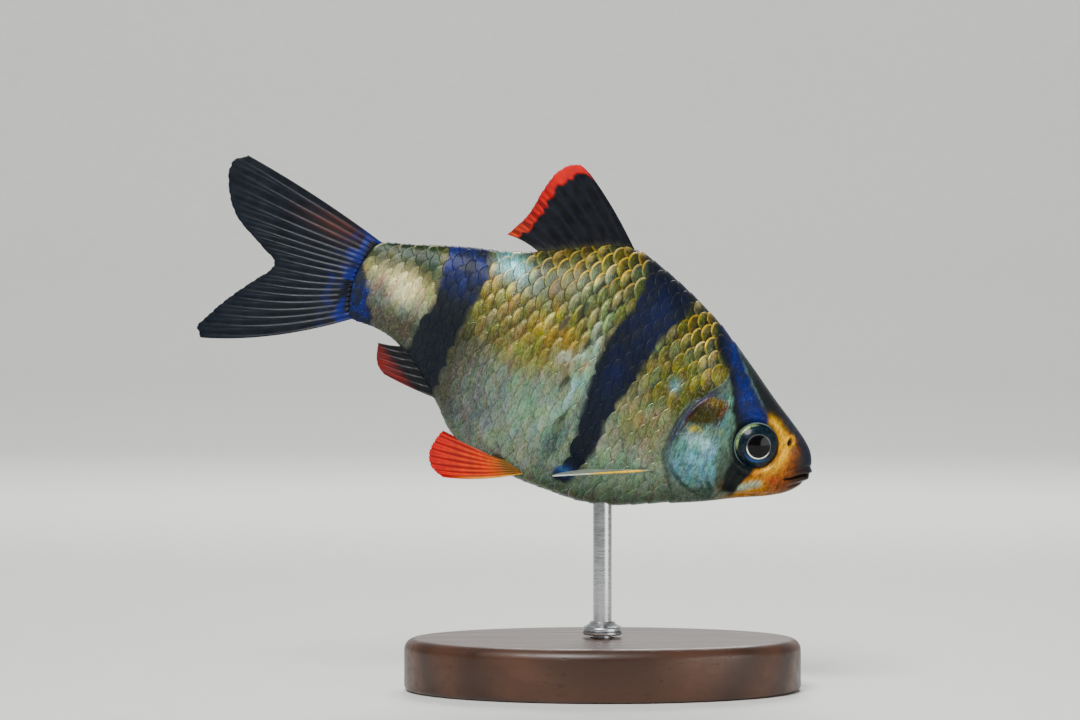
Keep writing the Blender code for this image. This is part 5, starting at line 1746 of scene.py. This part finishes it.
class BARB_OT_paired_fins(Operator):
    """Make the pelvic and pectoral fins"""

    bl_idname = "barb.paired_fins"
    bl_label = "Pelvic and pectoral fins"

    def execute(self, context):
        for side, word in SIDES:
            build_fin(
                f"pelvic_fan_{word}", pelvic_rays(side), f"pelvic_fin_{word}", paint_pelvic,
                ridge=0.26, gloss=0.3,
            )
            build_fin(
                f"pectoral_fan_{word}", pectoral_rays(side), f"pectoral_fin_{word}",
                paint_pectoral, ridge=0.15, root_swell=0.0, gloss=0.25, slim_root=0.6,
            )
        return {"FINISHED"}


class BARB_OT_stand(Operator):
    """Turn the wooden base and the steel rod"""

    bl_idname = "barb.stand"
    bl_label = "Stand"

    def execute(self, context):
        build_base()
        build_rod()
        return {"FINISHED"}


class BARB_OT_stage(Operator):
    """Set the floor, the camera and the lights"""

    bl_idname = "barb.stage"
    bl_label = "Floor, camera and lights"

    def execute(self, context):
        stage = context.scene.barb_stage
        build_floor(stage)
        add_camera(stage)
        add_light("key", (-0.13, -0.35, 0.44), MODEL_MIDDLE, 0.26, stage.key_power)
        add_light("fill", (0.4, -0.3, 0.06), MODEL_MIDDLE, 0.36, stage.fill_power)
        add_light("rim", (0.05, 0.36, 0.36), MODEL_MIDDLE, 0.26, stage.fill_power * 1.5)
        add_light("wall", (0.0, 0.35, 0.6), WALL_MIDDLE, 0.5, stage.wall_power)
        set_sky()
        return {"FINISHED"}


class BARB_PT_panel(Panel):
    """Sidebar panel with the steps that dress the model"""

    bl_idname = "BARB_PT_panel"
    bl_label = "Tiger Barb"
    bl_space_type = "VIEW_3D"
    bl_region_type = "UI"
    bl_category = "Tiger Barb"

    def draw(self, context):
        for group in ("barb_shape", "barb_colours", "barb_stage"):
            box = self.layout.box()
            settings = getattr(context.scene, group)
            for key in settings.__annotations__:
                box.prop(settings, key)
        for step in STEPS:
            self.layout.operator(step.bl_idname)


STEPS = (
    BARB_OT_skin, BARB_OT_scales, BARB_OT_eyes, BARB_OT_middle_fins, BARB_OT_paired_fins, BARB_OT_stand,
    BARB_OT_stage,
)
GROUPS = (("barb_shape", BarbShape), ("barb_colours", BarbColours), ("barb_stage", BarbStage))


def register():
    for name, group in GROUPS:
        bpy.utils.register_class(group)
        setattr(bpy.types.Scene, name, PointerProperty(type=group))
    for made in (*STEPS, BARB_PT_panel):
        bpy.utils.register_class(made)


def unregister():
    for made in (BARB_PT_panel, *reversed(STEPS)):
        bpy.utils.unregister_class(made)
    for name, group in reversed(GROUPS):
        delattr(bpy.types.Scene, name)
        bpy.utils.unregister_class(group)


def main():
    register()
    bpy.ops.barb.skin()
    bpy.ops.barb.scales()
    bpy.ops.barb.eyes()
    bpy.ops.barb.middle_fins()
    bpy.ops.barb.paired_fins()
    bpy.ops.barb.stand()
    bpy.ops.barb.stage()


if __name__ == "__main__":
    main()
